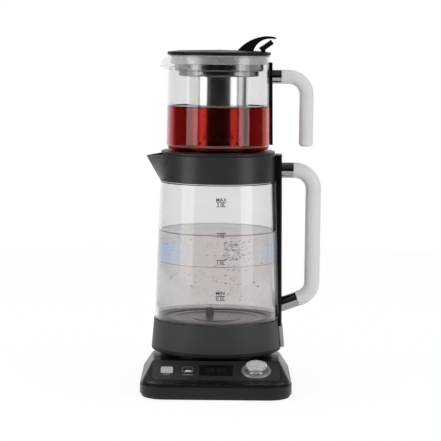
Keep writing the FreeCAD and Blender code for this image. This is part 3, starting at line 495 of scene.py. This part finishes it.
def taperedGlass(name, values):
    # only the outside of a tapering wall has a glossy coat; the wall's middle radius falls with height
    material = clearGlass(name, values["tint"], values["bend"], gloss=values["gloss"])
    tree = material.node_tree
    place = kettlePlace(tree)
    level = addNode(tree, "Math", {"operation": "MULTIPLY_ADD"})
    level.inputs[1].default_value = values["taper"]
    linkNodes(tree, [(place["Z"], level.inputs[0]), (axisReach(tree, place), level.inputs[2])])
    edges = (values["middle"] - glossEdge, values["middle"] + glossEdge, *neverFalls)
    mask = placeBand(tree, level.outputs[0], edges)
    tree.links.new(mask, tree.nodes["Principled BSDF"].inputs["Coat Weight"])
    return material


def facingShade(tree, stops):
    # painted shade: clear glass and water are painted darker where they are seen edge on, partly for the
    # longer path through them and partly for the dark edges seen in them
    facing = addNode(tree, "LayerWeight", Blend=0.5)
    ramp = addNode(tree, "ValToRGB")
    scale = ramp.color_ramp
    while len(scale.elements) < len(stops):
        scale.elements.new(0.5)
    for element, (position, shade) in zip(scale.elements, stops):
        element.position = position
        element.color = (shade, shade, shade, 1)
    tree.links.new(facing.outputs["Facing"], ramp.inputs["Fac"])
    return ramp.outputs["Color"]


def dress(material, *names):
    for name in names:
        data = frame["nodes"][name].data
        data.materials.clear()
        data.materials.append(material)


def dressAll(finish, rows):
    # a row is a material's name, its values and the CAD pieces that wear it
    for name, values, pieces in rows:
        dress(finish(name, **values), *pieces)


# base
basePlastics = [
    ("baseShellPlastic", {"color": (0.0065, 0.0065, 0.007), "roughness": 0.3, "depth": 0.08, "shine": 0.28},
     ["base_top_shell"]),
    ("baseTrayPlastic", {"color": (0.005, 0.005, 0.005), "roughness": 0.5, "depth": 0.2, "shine": 0.3},
     ["base_bottom_shell"]),
    ("footRubber", {"color": (0.014, 0.014, 0.014), "roughness": 0.75, "depth": 0.35, "grainSize": 1600},
     ["base_feet", "cord_inlet"]),
]
baseMetals = [
    ("screwSteel", {"color": (0.42, 0.42, 0.41), "roughness": 0.32, "stretch": (900, 900, 900)},
     ["base_screws", "board_screws", "bottom_cover_screws", "latch_pin"]),
]


def finishBase():
    dressAll(mouldedPlastic, basePlastics)
    dressAll(brushedMetal, baseMetals)


# control panel; its prints lie on the slope, x to the right and y up the slope, in millimetres
panel = {"slope": 19.0, "knobX": 45.5, "plateTop": 0.4, "lensTop": 0.5, "buttonTop": 1.0,
         "printDepth": 0.08, "printSunk": 0.03, "teaX": -55.5, "warmX": -32.0}
panelLabels = {"y": -10.2, "height": 1.0, "teaWidth": 7.0, "warmWidth": 12.0}
warmIcon = {"outline": 6.2, "corner": 2.2, "stroke": 0.45, "outlineShare": 0.7, "cupWidth": 5.6,
            "cupHeight": 2.7, "cupY": -2.4, "handle": 1.0, "handleOut": 0.8, "handleCorner": 0.6,
            "saucerWidth": 8.2, "saucerY": -4.4}
digits = {"width": 3.4, "height": 7.0, "stroke": 0.85, "gap": 0.25, "pitch": 5.4, "colon": 1.0}
barCorner = 0.3
inks = {"labelInk": {"color": (0.3, 0.3, 0.305), "roughness": 0.5, "depth": 0.05, "tint": 0.1},
        "iconInk": {"color": (0.62, 0.62, 0.62), "roughness": 0.45, "depth": 0.05, "tint": 0.06},
        "unlitSegment": {"color": (0.018, 0.018, 0.019), "roughness": 0.3, "depth": 0.03, "shine": 0.3}}


def panelPoint(x, y, z):
    # a place on the sloping panel, from the knob's own axis
    knob = next(joint for joint in frame["joints"] if joint["name"] == "knob_turn")
    slope = math.radians(panel["slope"])
    up = Vector((0, math.cos(slope), math.sin(slope)))
    out = Vector((0, -math.sin(slope), math.cos(slope)))
    return Vector(knob["pos_m"]) + Vector(((x - panel["knobX"]) * mm, 0, 0)) + up * (y * mm) + out * (z * mm)


def laidOnPanel(piece, surface):
    # a flat outline in millimetres becomes a thin print on the slope
    activate(piece)
    bpy.ops.object.mode_set(mode="EDIT")
    bpy.ops.mesh.select_all(action="SELECT")
    bpy.ops.mesh.extrude_region_move(TRANSFORM_OT_translate={"value": (0, 0, panel["printDepth"])})
    bpy.ops.mesh.select_all(action="SELECT")
    bpy.ops.mesh.normals_make_consistent(inside=False)
    bpy.ops.object.mode_set(mode="OBJECT")
    piece.scale = (mm, mm, mm)
    piece.rotation_euler = (math.radians(panel["slope"]), 0, 0)
    piece.location = panelPoint(0, 0, surface - panel["printSunk"])
    settle(piece)
    return piece


def flatBar(x, y, width, height):
    clearSelection()
    bpy.ops.mesh.primitive_plane_add(size=1, location=(x, y, 0))
    bar = bpy.context.object
    bar.scale = (width, height, 1)
    bpy.ops.object.transform_apply(location=True, rotation=False, scale=True)
    bpy.ops.object.mode_set(mode="EDIT")
    bpy.ops.mesh.bevel(offset=min(width, height) * barCorner, segments=2, affect="VERTICES")
    bpy.ops.object.mode_set(mode="OBJECT")
    return bar


def flatFrame(x, y, half, corner, stroke):
    # rounded square outline: a rounded plate whose inset middle is taken out
    clearSelection()
    bpy.ops.mesh.primitive_plane_add(size=2 * half, location=(x, y, 0))
    ring = bpy.context.object
    bpy.ops.object.transform_apply(location=True, rotation=False, scale=False)
    bpy.ops.object.mode_set(mode="EDIT")
    bpy.ops.mesh.bevel(offset=corner, segments=5, affect="VERTICES")
    bpy.ops.mesh.select_all(action="SELECT")
    bpy.ops.mesh.inset(thickness=stroke)
    bpy.ops.mesh.delete(type="FACE")
    bpy.ops.object.mode_set(mode="OBJECT")
    return ring


def makePanelPrints():
    ink = mouldedPlastic("labelInk", **inks["labelInk"])
    labels = [flatBar(panel[side + "X"], panelLabels["y"], panelLabels[side + "Width"], panelLabels["height"])
              for side in ("tea", "warm")]
    labels = laidOnPanel(joined(labels, "buttonLabels"), panel["plateTop"])
    finished(labels, "base", ink)

    outline = flatFrame(panel["warmX"], 0, warmIcon["outline"], warmIcon["corner"],
                        warmIcon["stroke"] * warmIcon["outlineShare"])
    outline = laidOnPanel(joined([outline], "warmOutline"), panel["buttonTop"])
    finished(outline, "warm_button", ink)

    cupY = warmIcon["cupY"]
    cup = flatBar(panel["warmX"], cupY, warmIcon["cupWidth"], warmIcon["cupHeight"])
    handleX = panel["warmX"] + warmIcon["cupWidth"] / 2 + warmIcon["handle"] * warmIcon["handleOut"]
    handle = flatFrame(handleX, cupY, warmIcon["handle"], warmIcon["handle"] * warmIcon["handleCorner"],
                       warmIcon["stroke"])
    saucer = flatBar(panel["warmX"], warmIcon["saucerY"], warmIcon["saucerWidth"], warmIcon["stroke"])
    icon = laidOnPanel(joined([cup, handle, saucer], "warmCupIcon"), panel["buttonTop"])
    finished(icon, "warm_button", mouldedPlastic("iconInk", **inks["iconInk"]))


def makeDigits():
    # one unlit segment, copied into four digits and the two dots between them
    width, height, stroke, gap = (digits[key] for key in ("width", "height", "stroke", "gap"))
    segments = []
    for digit in range(4):
        x = (digit - 1.5) * digits["pitch"] + (digits["colon"] if digit > 1 else -digits["colon"])
        for y in (-height / 2, 0, height / 2):
            segments.append((x, y, width - 2 * gap, stroke))
        for side in (-width / 2, width / 2):
            for y in (-height / 4, height / 4):
                segments.append((x + side, y, stroke, height / 2 - 2 * gap))
    for y in (-height / 5, height / 5):
        segments.append((0, y, stroke, stroke))
    places = [((x, y, 0), (wide, tall, 1)) for x, y, wide, tall in segments]
    display = scattered(flatBar(0, 0, 1, 1), places, "displayDigits")
    finished(laidOnPanel(display, panel["lensTop"]), "base",
             mouldedPlastic("unlitSegment", **inks["unlitSegment"]))


panelPlastics = [
    ("panelPlastic", {"color": (0.021, 0.021, 0.0215), "roughness": 0.34, "depth": 0.06, "grainSize": 3500},
     ["control_panel"]),
    ("boardResin", {"color": (0.015, 0.11, 0.05), "roughness": 0.45, "depth": 0.15}, ["control_board"]),
    ("displayBlock", {"color": (0.03, 0.03, 0.032), "roughness": 0.4}, ["display_module"]),
    ("switchPlastic", {"color": (0.012, 0.012, 0.012), "roughness": 0.4}, ["button_switches"]),
    ("teaButtonPlastic", {"color": (0.4, 0.41, 0.42), "roughness": 0.4, "depth": 0.08, "tint": 0.05},
     ["tea_button"]),
    ("warmButtonPlastic", {"color": (0.021, 0.021, 0.0215), "roughness": 0.34, "depth": 0.06},
     ["warm_button"]),
]
panelMetals = [
    ("satinRing", {"color": (0.33, 0.33, 0.34), "roughness": 0.36, "stretch": (4000, 4000, 400),
                   "metallic": 0.55}, ["rotary_encoder", "knob_bezel"]),
    ("knobChrome", {"color": (0.95, 0.96, 0.97), "roughness": 0.2, "stretch": (15, 260, 260), "depth": 0.03,
                    "streak": 0.12}, ["knob_body", "knob_shaft"]),
    ("capChrome", {"color": (0.92, 0.93, 0.94), "roughness": 0.16, "stretch": (15, 260, 260), "depth": 0.06,
                   "streak": 0.3, "metallic": 0.74}, ["knob_cap"]),
]
lensGloss = {"Coat_Weight": 0.6, "Coat_Roughness": 0.05, "Specular_IOR_Level": 0.3}
lensGrain = {"Color": (0.003, 0.003, 0.0035, 1), "Roughness": 0.2, "Depth": 0.01, "Smudge": 0.05}


def finishPanel():
    dressAll(mouldedPlastic, panelPlastics)
    dressAll(brushedMetal, panelMetals)
    lens, tree, shader = startMaterial("displayLens", **lensGloss)
    placeGroup(tree, shader, mouldGrain, **lensGrain)
    dress(lens, "display_window")


# kettle
kettlePlastics = [
    ("upperCollarPlastic", {"color": (0.021, 0.021, 0.0215), "roughness": 0.33, "depth": 0.1,
                            "grainSize": 2200}, ["kettle_top_collar", "kettle_spout"]),
    ("coverPlastic", {"color": (0.02, 0.02, 0.02), "roughness": 0.5, "depth": 0.2},
     ["kettle_bottom_cover", "kettle_socket", "coupler_tower", "kettle_control"]),
    ("sealSilicone", {"color": (0.06, 0.06, 0.06), "roughness": 0.55, "depth": 0.1},
     ["plate_seal", "glass_top_seal", "ring_gasket"]),
    ("probePlastic", {"color": (0.02, 0.018, 0.016), "roughness": 0.35}, ["temperature_probe"]),
    ("strapGloss", {"color": (0.002, 0.002, 0.002), "roughness": 0.35, "depth": 0.02, "shine": 0.1},
     ["handle_strap", "pot_strap"]),
]
kettleMetals = [
    ("contactBrass", {"color": (0.72, 0.52, 0.24), "roughness": 0.25, "stretch": (900, 900, 900)},
     ["coupler_contacts"]),
    ("elementMetal", {"color": (0.35, 0.33, 0.31), "roughness": 0.42, "stretch": (700, 700, 700)},
     ["heating_element"]),
    ("footSteel", {"color": (0.36, 0.36, 0.365), "roughness": 0.3, "stretch": (80, 80, 5000)},
     ["strap_foot"]),
    ("ferruleChrome", {"color": (0.3, 0.3, 0.31), "roughness": 0.12, "stretch": (300, 300, 300),
                       "depth": 0.02, "streak": 0.03}, ["upper_ferrule", "lower_ferrule", "pot_ferrule"]),
]
kettleGlass = {"tint": (0.875, 0.88, 0.88), "bend": 1.2, "gloss": 0.13, "middle": 73.76 * mm,
               "taper": 0.03337, "sides": ((0.0, 0.878), (0.55, 0.875), (0.75, 0.8), (1.0, 0.6))}


def finishKettle():
    dressAll(mouldedPlastic, kettlePlastics)
    dressAll(brushedMetal, kettleMetals)
    dress(lowerCollar(), "kettle_bottom_collar")
    dress(plateSteel(), "heating_plate")
    dress(frostedBar(), "kettle_handle_bar", "pot_handle_bar")
    glass = taperedGlass("kettleGlass", kettleGlass)
    tree = glass.node_tree
    # painted shade: the glass's base colour darkens towards its edges where it is seen edge on
    tree.links.new(facingShade(tree, kettleGlass["sides"]),
                   tree.nodes["Principled BSDF"].inputs["Base Color"])
    dress(glass, "kettle_glass")


collarFoot = {"color": (0.036, 0.036, 0.037), "roughness": 0.5, "depth": 0.14, "grainSize": 2200,
              "shine": 0.35}
footPaintedShade = {"color": (0.004, 0.004, 0.004), "heights": (0.0, 0.001, 0.0415, 0.0423)}


def lowerCollar():
    # the foot of the kettle's collar is painted blacker than the rest: painted shade for the shadow gap under
    # the kettle
    material = mouldedPlastic("lowerCollarPlastic", **collarFoot)
    tree = material.node_tree
    # painted shade along the collar's lowest few millimetres
    edge = placeBand(tree, kettlePlace(tree)["Z"], footPaintedShade["heights"])
    group = next(node for node in tree.nodes if node.type == "GROUP" and node.node_tree == mouldGrain)
    tree.links.new(mixColors(tree, edge, collarFoot["color"], footPaintedShade["color"]), group.inputs["Color"])
    return material


# plate colour, and the painted shade of the dark rings in its grooves, with the rings' radii in metres
plateRings = {"steel": (0.13, 0.128, 0.122), "shade": (0.02, 0.02, 0.02),
              "outer": (0.0545, 0.0565, 0.0605, 0.0625), "inner": (0.0325, 0.0335, 0.0345, 0.0355)}
latheLines = {"Roughness": 0.3, "Stretch": (2600, 1, 1), "Depth": 0.15, "Streak": 0.12}


def plateSteel():
    # lathe lines run round the middle of the plate, and its pressed grooves are painted darker: painted shade
    # and painted dark reflection
    material, tree, shader = startMaterial("plateSteel", Metallic=1.0)
    reach = axisReach(tree, kettlePlace(tree))
    lines = addNode(tree, "CombineXYZ")
    group = placeGroup(tree, shader, brushedLines, **latheLines)
    grooveShade = addNode(tree, "Math", {"operation": "MAXIMUM"})
    linkNodes(tree, [(reach, lines.inputs["X"]), (lines.outputs[0], group.inputs["Vector"]),
                     (placeBand(tree, reach, plateRings["outer"]), grooveShade.inputs[0]),
                     (placeBand(tree, reach, plateRings["inner"]), grooveShade.inputs[1])])
    tree.links.new(mixColors(tree, grooveShade.outputs[0], plateRings["steel"], plateRings["shade"]),
                   group.inputs["Color"])
    return material


acrylicBody = {"IOR": 1.49, "Subsurface_Weight": 0.3, "Subsurface_Scale": 0.008,
               "Subsurface_Radius": (1.0, 1.0, 1.0), "Coat_Weight": 0.15, "Coat_Roughness": 0.3}
acrylicGrain = {"Color": (0.61, 0.61, 0.615, 1), "Roughness": 0.45, "Depth": 0.08, "Smudge": 0.05,
                "Tint": 0.04}


def frostedBar():
    material, tree, shader = startMaterial("frostedBar", **acrylicBody)
    placeGroup(tree, shader, mouldGrain, **acrylicGrain)
    return material


# litre marks on the kettle's glass; heights of the middles in millimetres, and the words' heights
kettleMarks = {"x": 4.1, "lineWidth": 10.4, "lineHeight": 0.9, "proud": 0.1, "thickness": 0.12,
               "bold": 0.1, "standOff": 10, "fontShare": 1.42, "lineCuts": 11,
               "words": [("MAX", 218.2, 4.0), ("2.0L", 212.2, 4.2), ("1.5L", 177.2, 4.0),
                         ("1.0L", 146.4, 3.9), ("MIN", 111.9, 3.9), ("0.5L", 105.2, 4.2)],
               "lines": [215.3, 180.5, 149.6, 108.7]}
markInk = {"color": (0.02, 0.019, 0.019), "roughness": 0.6, "depth": 0.05, "shine": 0.2}


def makeKettleMarks():
    front = kettleLow.y - kettleMarks["standOff"] * mm
    pieces = []
    for word, height, tall in kettleMarks["words"]:
        clearSelection()
        bpy.ops.object.text_add()
        text = bpy.context.object
        text.data.body = word
        text.data.align_x = "CENTER"
        text.data.align_y = "CENTER"
        text.data.size = tall * kettleMarks["fontShare"] * mm
        text.data.offset = kettleMarks["bold"] * mm
        bpy.ops.object.convert(target="MESH")
        text = bpy.context.object
        text.rotation_euler = (math.radians(90), 0, 0)
        text.location = (kettleAxis.x + kettleMarks["x"] * mm, front, height * mm)
        pieces.append(text)
    for height in kettleMarks["lines"]:
        clearSelection()
        bpy.ops.mesh.primitive_plane_add(size=1, rotation=(math.radians(90), 0, 0))
        line = bpy.context.object
        line.location = (kettleAxis.x + kettleMarks["x"] * mm, front, height * mm)
        line.scale = (kettleMarks["lineWidth"] * mm, kettleMarks["lineHeight"] * mm, 1)
        bpy.ops.object.mode_set(mode="EDIT")
        bpy.ops.mesh.subdivide(number_cuts=kettleMarks["lineCuts"])
        bpy.ops.object.mode_set(mode="OBJECT")
        pieces.append(line)
    marks = joined(pieces, "litreMarks")
    settle(marks)
    wrap = marks.modifiers.new("ontoGlass", "SHRINKWRAP")
    wrap.target = frame["nodes"]["kettle_glass"]
    wrap.wrap_method = "PROJECT"
    wrap.use_project_y = True
    wrap.use_negative_direction = False
    wrap.use_positive_direction = True
    wrap.offset = kettleMarks["proud"] * mm
    skin = marks.modifiers.new("inkThickness", "SOLIDIFY")
    skin.thickness = kettleMarks["thickness"] * mm
    skin.offset = -1
    applyModifiers(marks)
    finished(marks, "kettle", mouldedPlastic("markInk", **markInk))


# teapot, infuser and lid
potPlastics = [
    ("steamRingPlastic", {"color": (0.015, 0.015, 0.0155), "roughness": 0.38, "depth": 0.12},
     ["steam_ring"]),
    ("lidPlastic", {"color": (0.006, 0.006, 0.006), "roughness": 0.45, "depth": 0.08, "shine": 0.25},
     ["lid_disc", "lid_plug"]),
    ("hornGloss", {"color": (0.005, 0.005, 0.005), "roughness": 0.22, "depth": 0.03, "coat": 0.2},
     ["lid_horn", "latch_lugs"]),
    ("latchPlastic", {"color": (0.006, 0.006, 0.006), "roughness": 0.3, "depth": 0.05}, ["lid_latch"]),
]
around = (50, 50, 7000)
potMetals = [
    ("infuserCollarSteel", {"color": (0.26, 0.26, 0.26), "roughness": 0.2, "stretch": around},
     ["infuser_collar"]),
    ("infuserTubeSteel", {"color": (0.72, 0.72, 0.72), "roughness": 0.16, "stretch": around},
     ["infuser_tube", "infuser_sieve"]),
]
potGlass = {"tint": (0.88, 0.885, 0.885), "bend": 1.2, "gloss": 0.06, "middle": 63.44 * mm, "taper": 0.01364}
ringSatin = {"metallic": 0.42, "grain": {"Color": (0.42, 0.42, 0.42, 1), "Roughness": 0.3, "Depth": 0.06,
                                         "Tint": 0.05}}


def finishTeapot():
    dressAll(mouldedPlastic, potPlastics)
    dressAll(brushedMetal, potMetals)
    dress(taperedGlass("potGlass", potGlass), "teapot_glass")
    ring, tree, shader = startMaterial("infuserRingSatin", Metallic=ringSatin["metallic"])
    placeGroup(tree, shader, mouldGrain, **ringSatin["grain"])
    dress(ring, "infuser_ring")


def liquid(name, tint, values):
    material = clearGlass(name, tint, values["bend"], shadowTint=1.0)
    tree = material.node_tree
    depth = addNode(tree, "VolumeAbsorption", Color=values["absorb"], Density=values["density"])
    tree.links.new(depth.outputs[0], tree.nodes["Material Output"].inputs["Volume"])
    return material


# how a liquid's surface curls up the wall: distance from the wall in millimetres, and share of the rise
meniscusCurve = ((0.0, 1.0), (0.4, 0.55), (1.2, 0.2), (3.0, 0.0))
lineDepth = 0.35 * mm
film = {"fadeEdges": (-0.03, 0.03), "mottle": 180.0, "mottleEdges": (0.3, 0.6), "thinnest": 0.55}


def surfacePoints(radius, top, rise):
    return [(radius - inward * mm, top + rise * share) for inward, share in meniscusCurve] + [(0, top)]


def surfaceLine(row, radius, top, body):
    # thin line round a liquid where it meets the glass: a see-through film of painted shade, and of painted
    # highlight for the bright edge
    name, finish, color, strengths, outward, (low, high) = row
    radius += outward * mm
    low = top + low * mm
    high = top + high * mm
    inner = radius - lineDepth
    points = [(radius, low), (radius, high), (inner, high), (inner, low), (radius, low)]
    finished(turnedProfile(name, points), body, lineFilm(finish, color, *strengths))


def lineFilm(name, color, front, back):
    # a see-through line that fades from the front of the kettle to its back
    material, tree, shader = startMaterial(name, Base_Color=(*color, 1), Roughness=0.4)
    place = kettlePlace(tree)
    fade = rangeNode(tree, film["fadeEdges"], (front, back), {"interpolation_type": "SMOOTHSTEP"})
    mottle = addNode(tree, "TexNoise", Scale=film["mottle"], Detail=2.0)
    uneven = rangeNode(tree, film["mottleEdges"], (film["thinnest"], 1.0))
    share = addNode(tree, "Math", {"operation": "MULTIPLY"})
    coordinate = addNode(tree, "TexCoord")
    linkNodes(tree, [(place["Y"], fade.inputs["Value"]),
                     (coordinate.outputs["Object"], mottle.inputs["Vector"]),
                     (mottle.outputs[0], uneven.inputs["Value"]), (fade.outputs[0], share.inputs[0]),
                     (uneven.outputs[0], share.inputs[1]), (share.outputs[0], shader.inputs["Alpha"])])
    return material


# water, with a painted blue glow: emission and a blue tint in a band of the water, standing in for light that
# shines through it
water = {"headRadius": 66.43 * mm, "floor": 71.4 * mm, "surface": 177 * mm,
         "foot": ((66.1, 71.4), (67.6, 73.6), (69.75, 76.1)),
         "meniscus": 1.4 * mm, "bend": 1.05, "absorb": (0.80, 0.74, 0.72, 1), "density": 9.0,
         "sides": ((0.0, 0.97), (0.2, 0.93), (0.3, 0.83), (0.5, 0.7), (0.7, 0.5)),
         "bed": (0.0, 0.001, 0.0775, 0.0795), "bedShade": (0.4, 0.39, 0.38),
         "tint": (0.98, 0.975, 0.975), "glowTint": (0.8, 0.96, 1.0), "glow": (0.0, 0.01, 0.09),
         "glowHeights": (0.136, 0.146, 0.158, 0.168), "glowLeft": (-0.2, -0.19, -0.055, -0.028),
         "glowRight": (0.035, 0.06, 0.19, 0.2), "rightShare": 0.45}
# the dark lines are painted shade, and waterlineEdge is a painted highlight
waterLines = [
    # name, material, colour, strength at the front and back, then distance out from the water's edge and
    # heights from its surface in millimetres
    ("waterline", "waterlineShade", (0.1, 0.09, 0.095), (0.75, 0.3), -0.2, (-0.2, 0.5)),
    ("waterlineEdge", "waterlineShine", (0.85, 0.84, 0.84), (0.5, 0.1), -0.2, (0.8, 1.4)),
    ("stillLine", "stillLineShade", (0.2, 0.19, 0.2), (0.55, 0.0), 0.9, (-35.9, -35.3)),
]
# places and sizes of the bubbles in millimetres from the kettle's axis
bubbles = {"seed": 7, "cluster": 110, "clusterX": (7, 32), "clusterZ": (149, 171), "loose": 150, "row": 9,
           "rowX": (-5, 14), "rowZ": 142.3, "rowSpread": 1, "looseZ": (78, 174), "looseReach": 63,
           "wallReach": 64.5, "wallDepth": 3, "small": (0.4, 0.78), "large": (0.42, 0.9), "flatness": 0.85,
           "color": (0.07, 0.066, 0.07, 1), "thinnest": 0.6}


def makeWater():
    top = water["surface"]
    radius = water["headRadius"]
    points = [(0, water["floor"])] + [(across * mm, height * mm) for across, height in water["foot"]]
    body = turnedProfile("kettleWater", points + surfacePoints(radius, top, water["meniscus"]))
    finished(body, "kettle", waterMaterial())
    for row in waterLines:
        surfaceLine(row, radius, top, "kettle")


def waterMaterial():
    material = liquid("waterClear", water["tint"], water)
    tree = material.node_tree
    shader = tree.nodes["Principled BSDF"]
    place = kettlePlace(tree)
    # painted light: blue emission and tint in a band of the water, strongest on the left
    side = addNode(tree, "Math", {"operation": "MULTIPLY_ADD"})
    side.inputs[1].default_value = water["rightShare"]
    glow = addNode(tree, "Math", {"operation": "MULTIPLY"})
    linkNodes(tree, [(placeBand(tree, place["X"], water["glowRight"]), side.inputs[0]),
                     (placeBand(tree, place["X"], water["glowLeft"]), side.inputs[2]),
                     (side.outputs[0], glow.inputs[0]),
                     (placeBand(tree, place["Z"], water["glowHeights"]), glow.inputs[1])])
    shaded = multiplyNode(tree)
    # painted shade: the water's lowest layer is darker, for the dark ring seen round the heating plate
    bed = multiplyNode(tree)
    linkNodes(tree, [(mixColors(tree, glow.outputs[0], water["tint"], water["glowTint"]), bed.inputs[6]),
                     (mixColors(tree, placeBand(tree, place["Z"], water["bed"]), (1, 1, 1), water["bedShade"]),
                      bed.inputs[7]), (bed.outputs[2], shaded.inputs[6]),
                     (facingShade(tree, water["sides"]), shaded.inputs[7]),
                     (shaded.outputs[2], shader.inputs["Base Color"]),
                     (mixColors(tree, glow.outputs[0], (0, 0, 0), water["glow"]),
                      shader.inputs["Emission Color"])])
    shader.inputs["Emission Strength"].default_value = 1.0
    return material


def makeBubbles():
    chance = random.Random(bubbles["seed"])
    places = []
    nearWall = bubbles["row"] + bubbles["cluster"]
    for index in range(nearWall + bubbles["loose"]):
        if index < nearWall:
            inRow = index < bubbles["row"]
            x = chance.uniform(*bubbles["rowX" if inRow else "clusterX"])
            y = -math.sqrt(bubbles["wallReach"] ** 2 - x ** 2) + chance.uniform(0, bubbles["wallDepth"])
            if inRow:
                z = bubbles["rowZ"] + chance.uniform(-bubbles["rowSpread"], bubbles["rowSpread"])
            else:
                z = chance.uniform(*bubbles["clusterZ"])
            size = chance.uniform(*bubbles["small"])
        else:
            angle = chance.uniform(0, math.tau)
            reach = bubbles["looseReach"] * math.sqrt(chance.random())
            x, y, z = reach * math.cos(angle), reach * math.sin(angle), chance.uniform(*bubbles["looseZ"])
            size = chance.uniform(*bubbles["large"])
        places.append((kettleAxis + Vector((x, y, z)) * mm,
                       (size * mm, size * mm, bubbles["flatness"] * size * mm)))
    clearSelection()
    bpy.ops.mesh.primitive_ico_sphere_add(subdivisions=1, radius=1)
    cloud = scattered(bpy.context.object, places, "waterBubbles")
    # the bubbles are dark see-through specks: painted shade for how air bubbles look dark in water
    material, tree, shader = startMaterial("bubbleFilm", Base_Color=bubbles["color"], Roughness=0.25)
    speck = addNode(tree, "TexNoise", Scale=60.0, Detail=1.0)
    shade = rangeNode(tree, (0.35, 0.6), (bubbles["thinnest"], 1.0))
    coordinate = addNode(tree, "TexCoord")
    linkNodes(tree, [(coordinate.outputs["Object"], speck.inputs["Vector"]),
                     (speck.outputs[0], shade.inputs["Value"]), (shade.outputs[0], shader.inputs["Alpha"])])
    finished(cloud, "kettle", material)


# tea
tea = {"floor": 273.4 * mm, "surface": 321.5 * mm, "footRadius": 58.62 * mm, "topRadius": 57.95 * mm,
       "corner": 6.5 * mm, "cornerSteps": 6, "meniscus": 1.3 * mm, "bend": 1.06,
       "absorb": (0.877, 0.108, 0.06, 1), "density": 65.0, "tint": (0.97, 0.93, 0.92),
       "shade": (0.3, 0.14, 0.14), "bands": (0.026, 0.032, 0.047, 0.053)}
teaLine = ("teaLine", "teaLineShade", (0.02, 0.008, 0.008), (0.85, 0.6), -0.2, (-0.4, 1.2))


def makeTea():
    low, top, corner = tea["floor"], tea["surface"], tea["corner"]
    foot, radius, steps = tea["footRadius"], tea["topRadius"], tea["cornerSteps"]
    points = [(0, low), (foot - corner, low)]
    for step in range(1, steps):
        angle = math.pi / 2 * step / steps
        points.append((foot - corner + corner * math.sin(angle), low + corner - corner * math.cos(angle)))
    points.append((foot, low + corner))
    body = turnedProfile("brewedTea", points + surfacePoints(radius, top, tea["meniscus"]))
    finished(body, "teapot", teaMaterial())
    surfaceLine(teaLine, radius, top, "teapot")


def teaMaterial():
    material = liquid("teaRed", tea["tint"], tea)
    tree = material.node_tree
    # painted shade: the tea is darker in two fixed bands to the left and right of the infuser
    aside = addNode(tree, "Math", {"operation": "ABSOLUTE"})
    tree.links.new(kettlePlace(tree)["X"], aside.inputs[0])
    paintedShadeBand = placeBand(tree, aside.outputs[0], tea["bands"])
    tree.links.new(mixColors(tree, paintedShadeBand, tea["tint"], tea["shade"]),
                   tree.nodes["Principled BSDF"].inputs["Base Color"])
    return material


bpy.context.scene.view_settings.view_transform = "Standard"
makeCamera()
makeWorld()
makeFloor()
for softbox in softboxes:
    makeSoftbox(*softbox)
makeOverhead()
print("camera and studio ready")
finishBase()
finishPanel()
makePanelPrints()
makeDigits()
finishKettle()
makeKettleMarks()
finishTeapot()
print("finishes and prints ready")
makeWater()
makeBubbles()
makeTea()
print("water and tea ready")
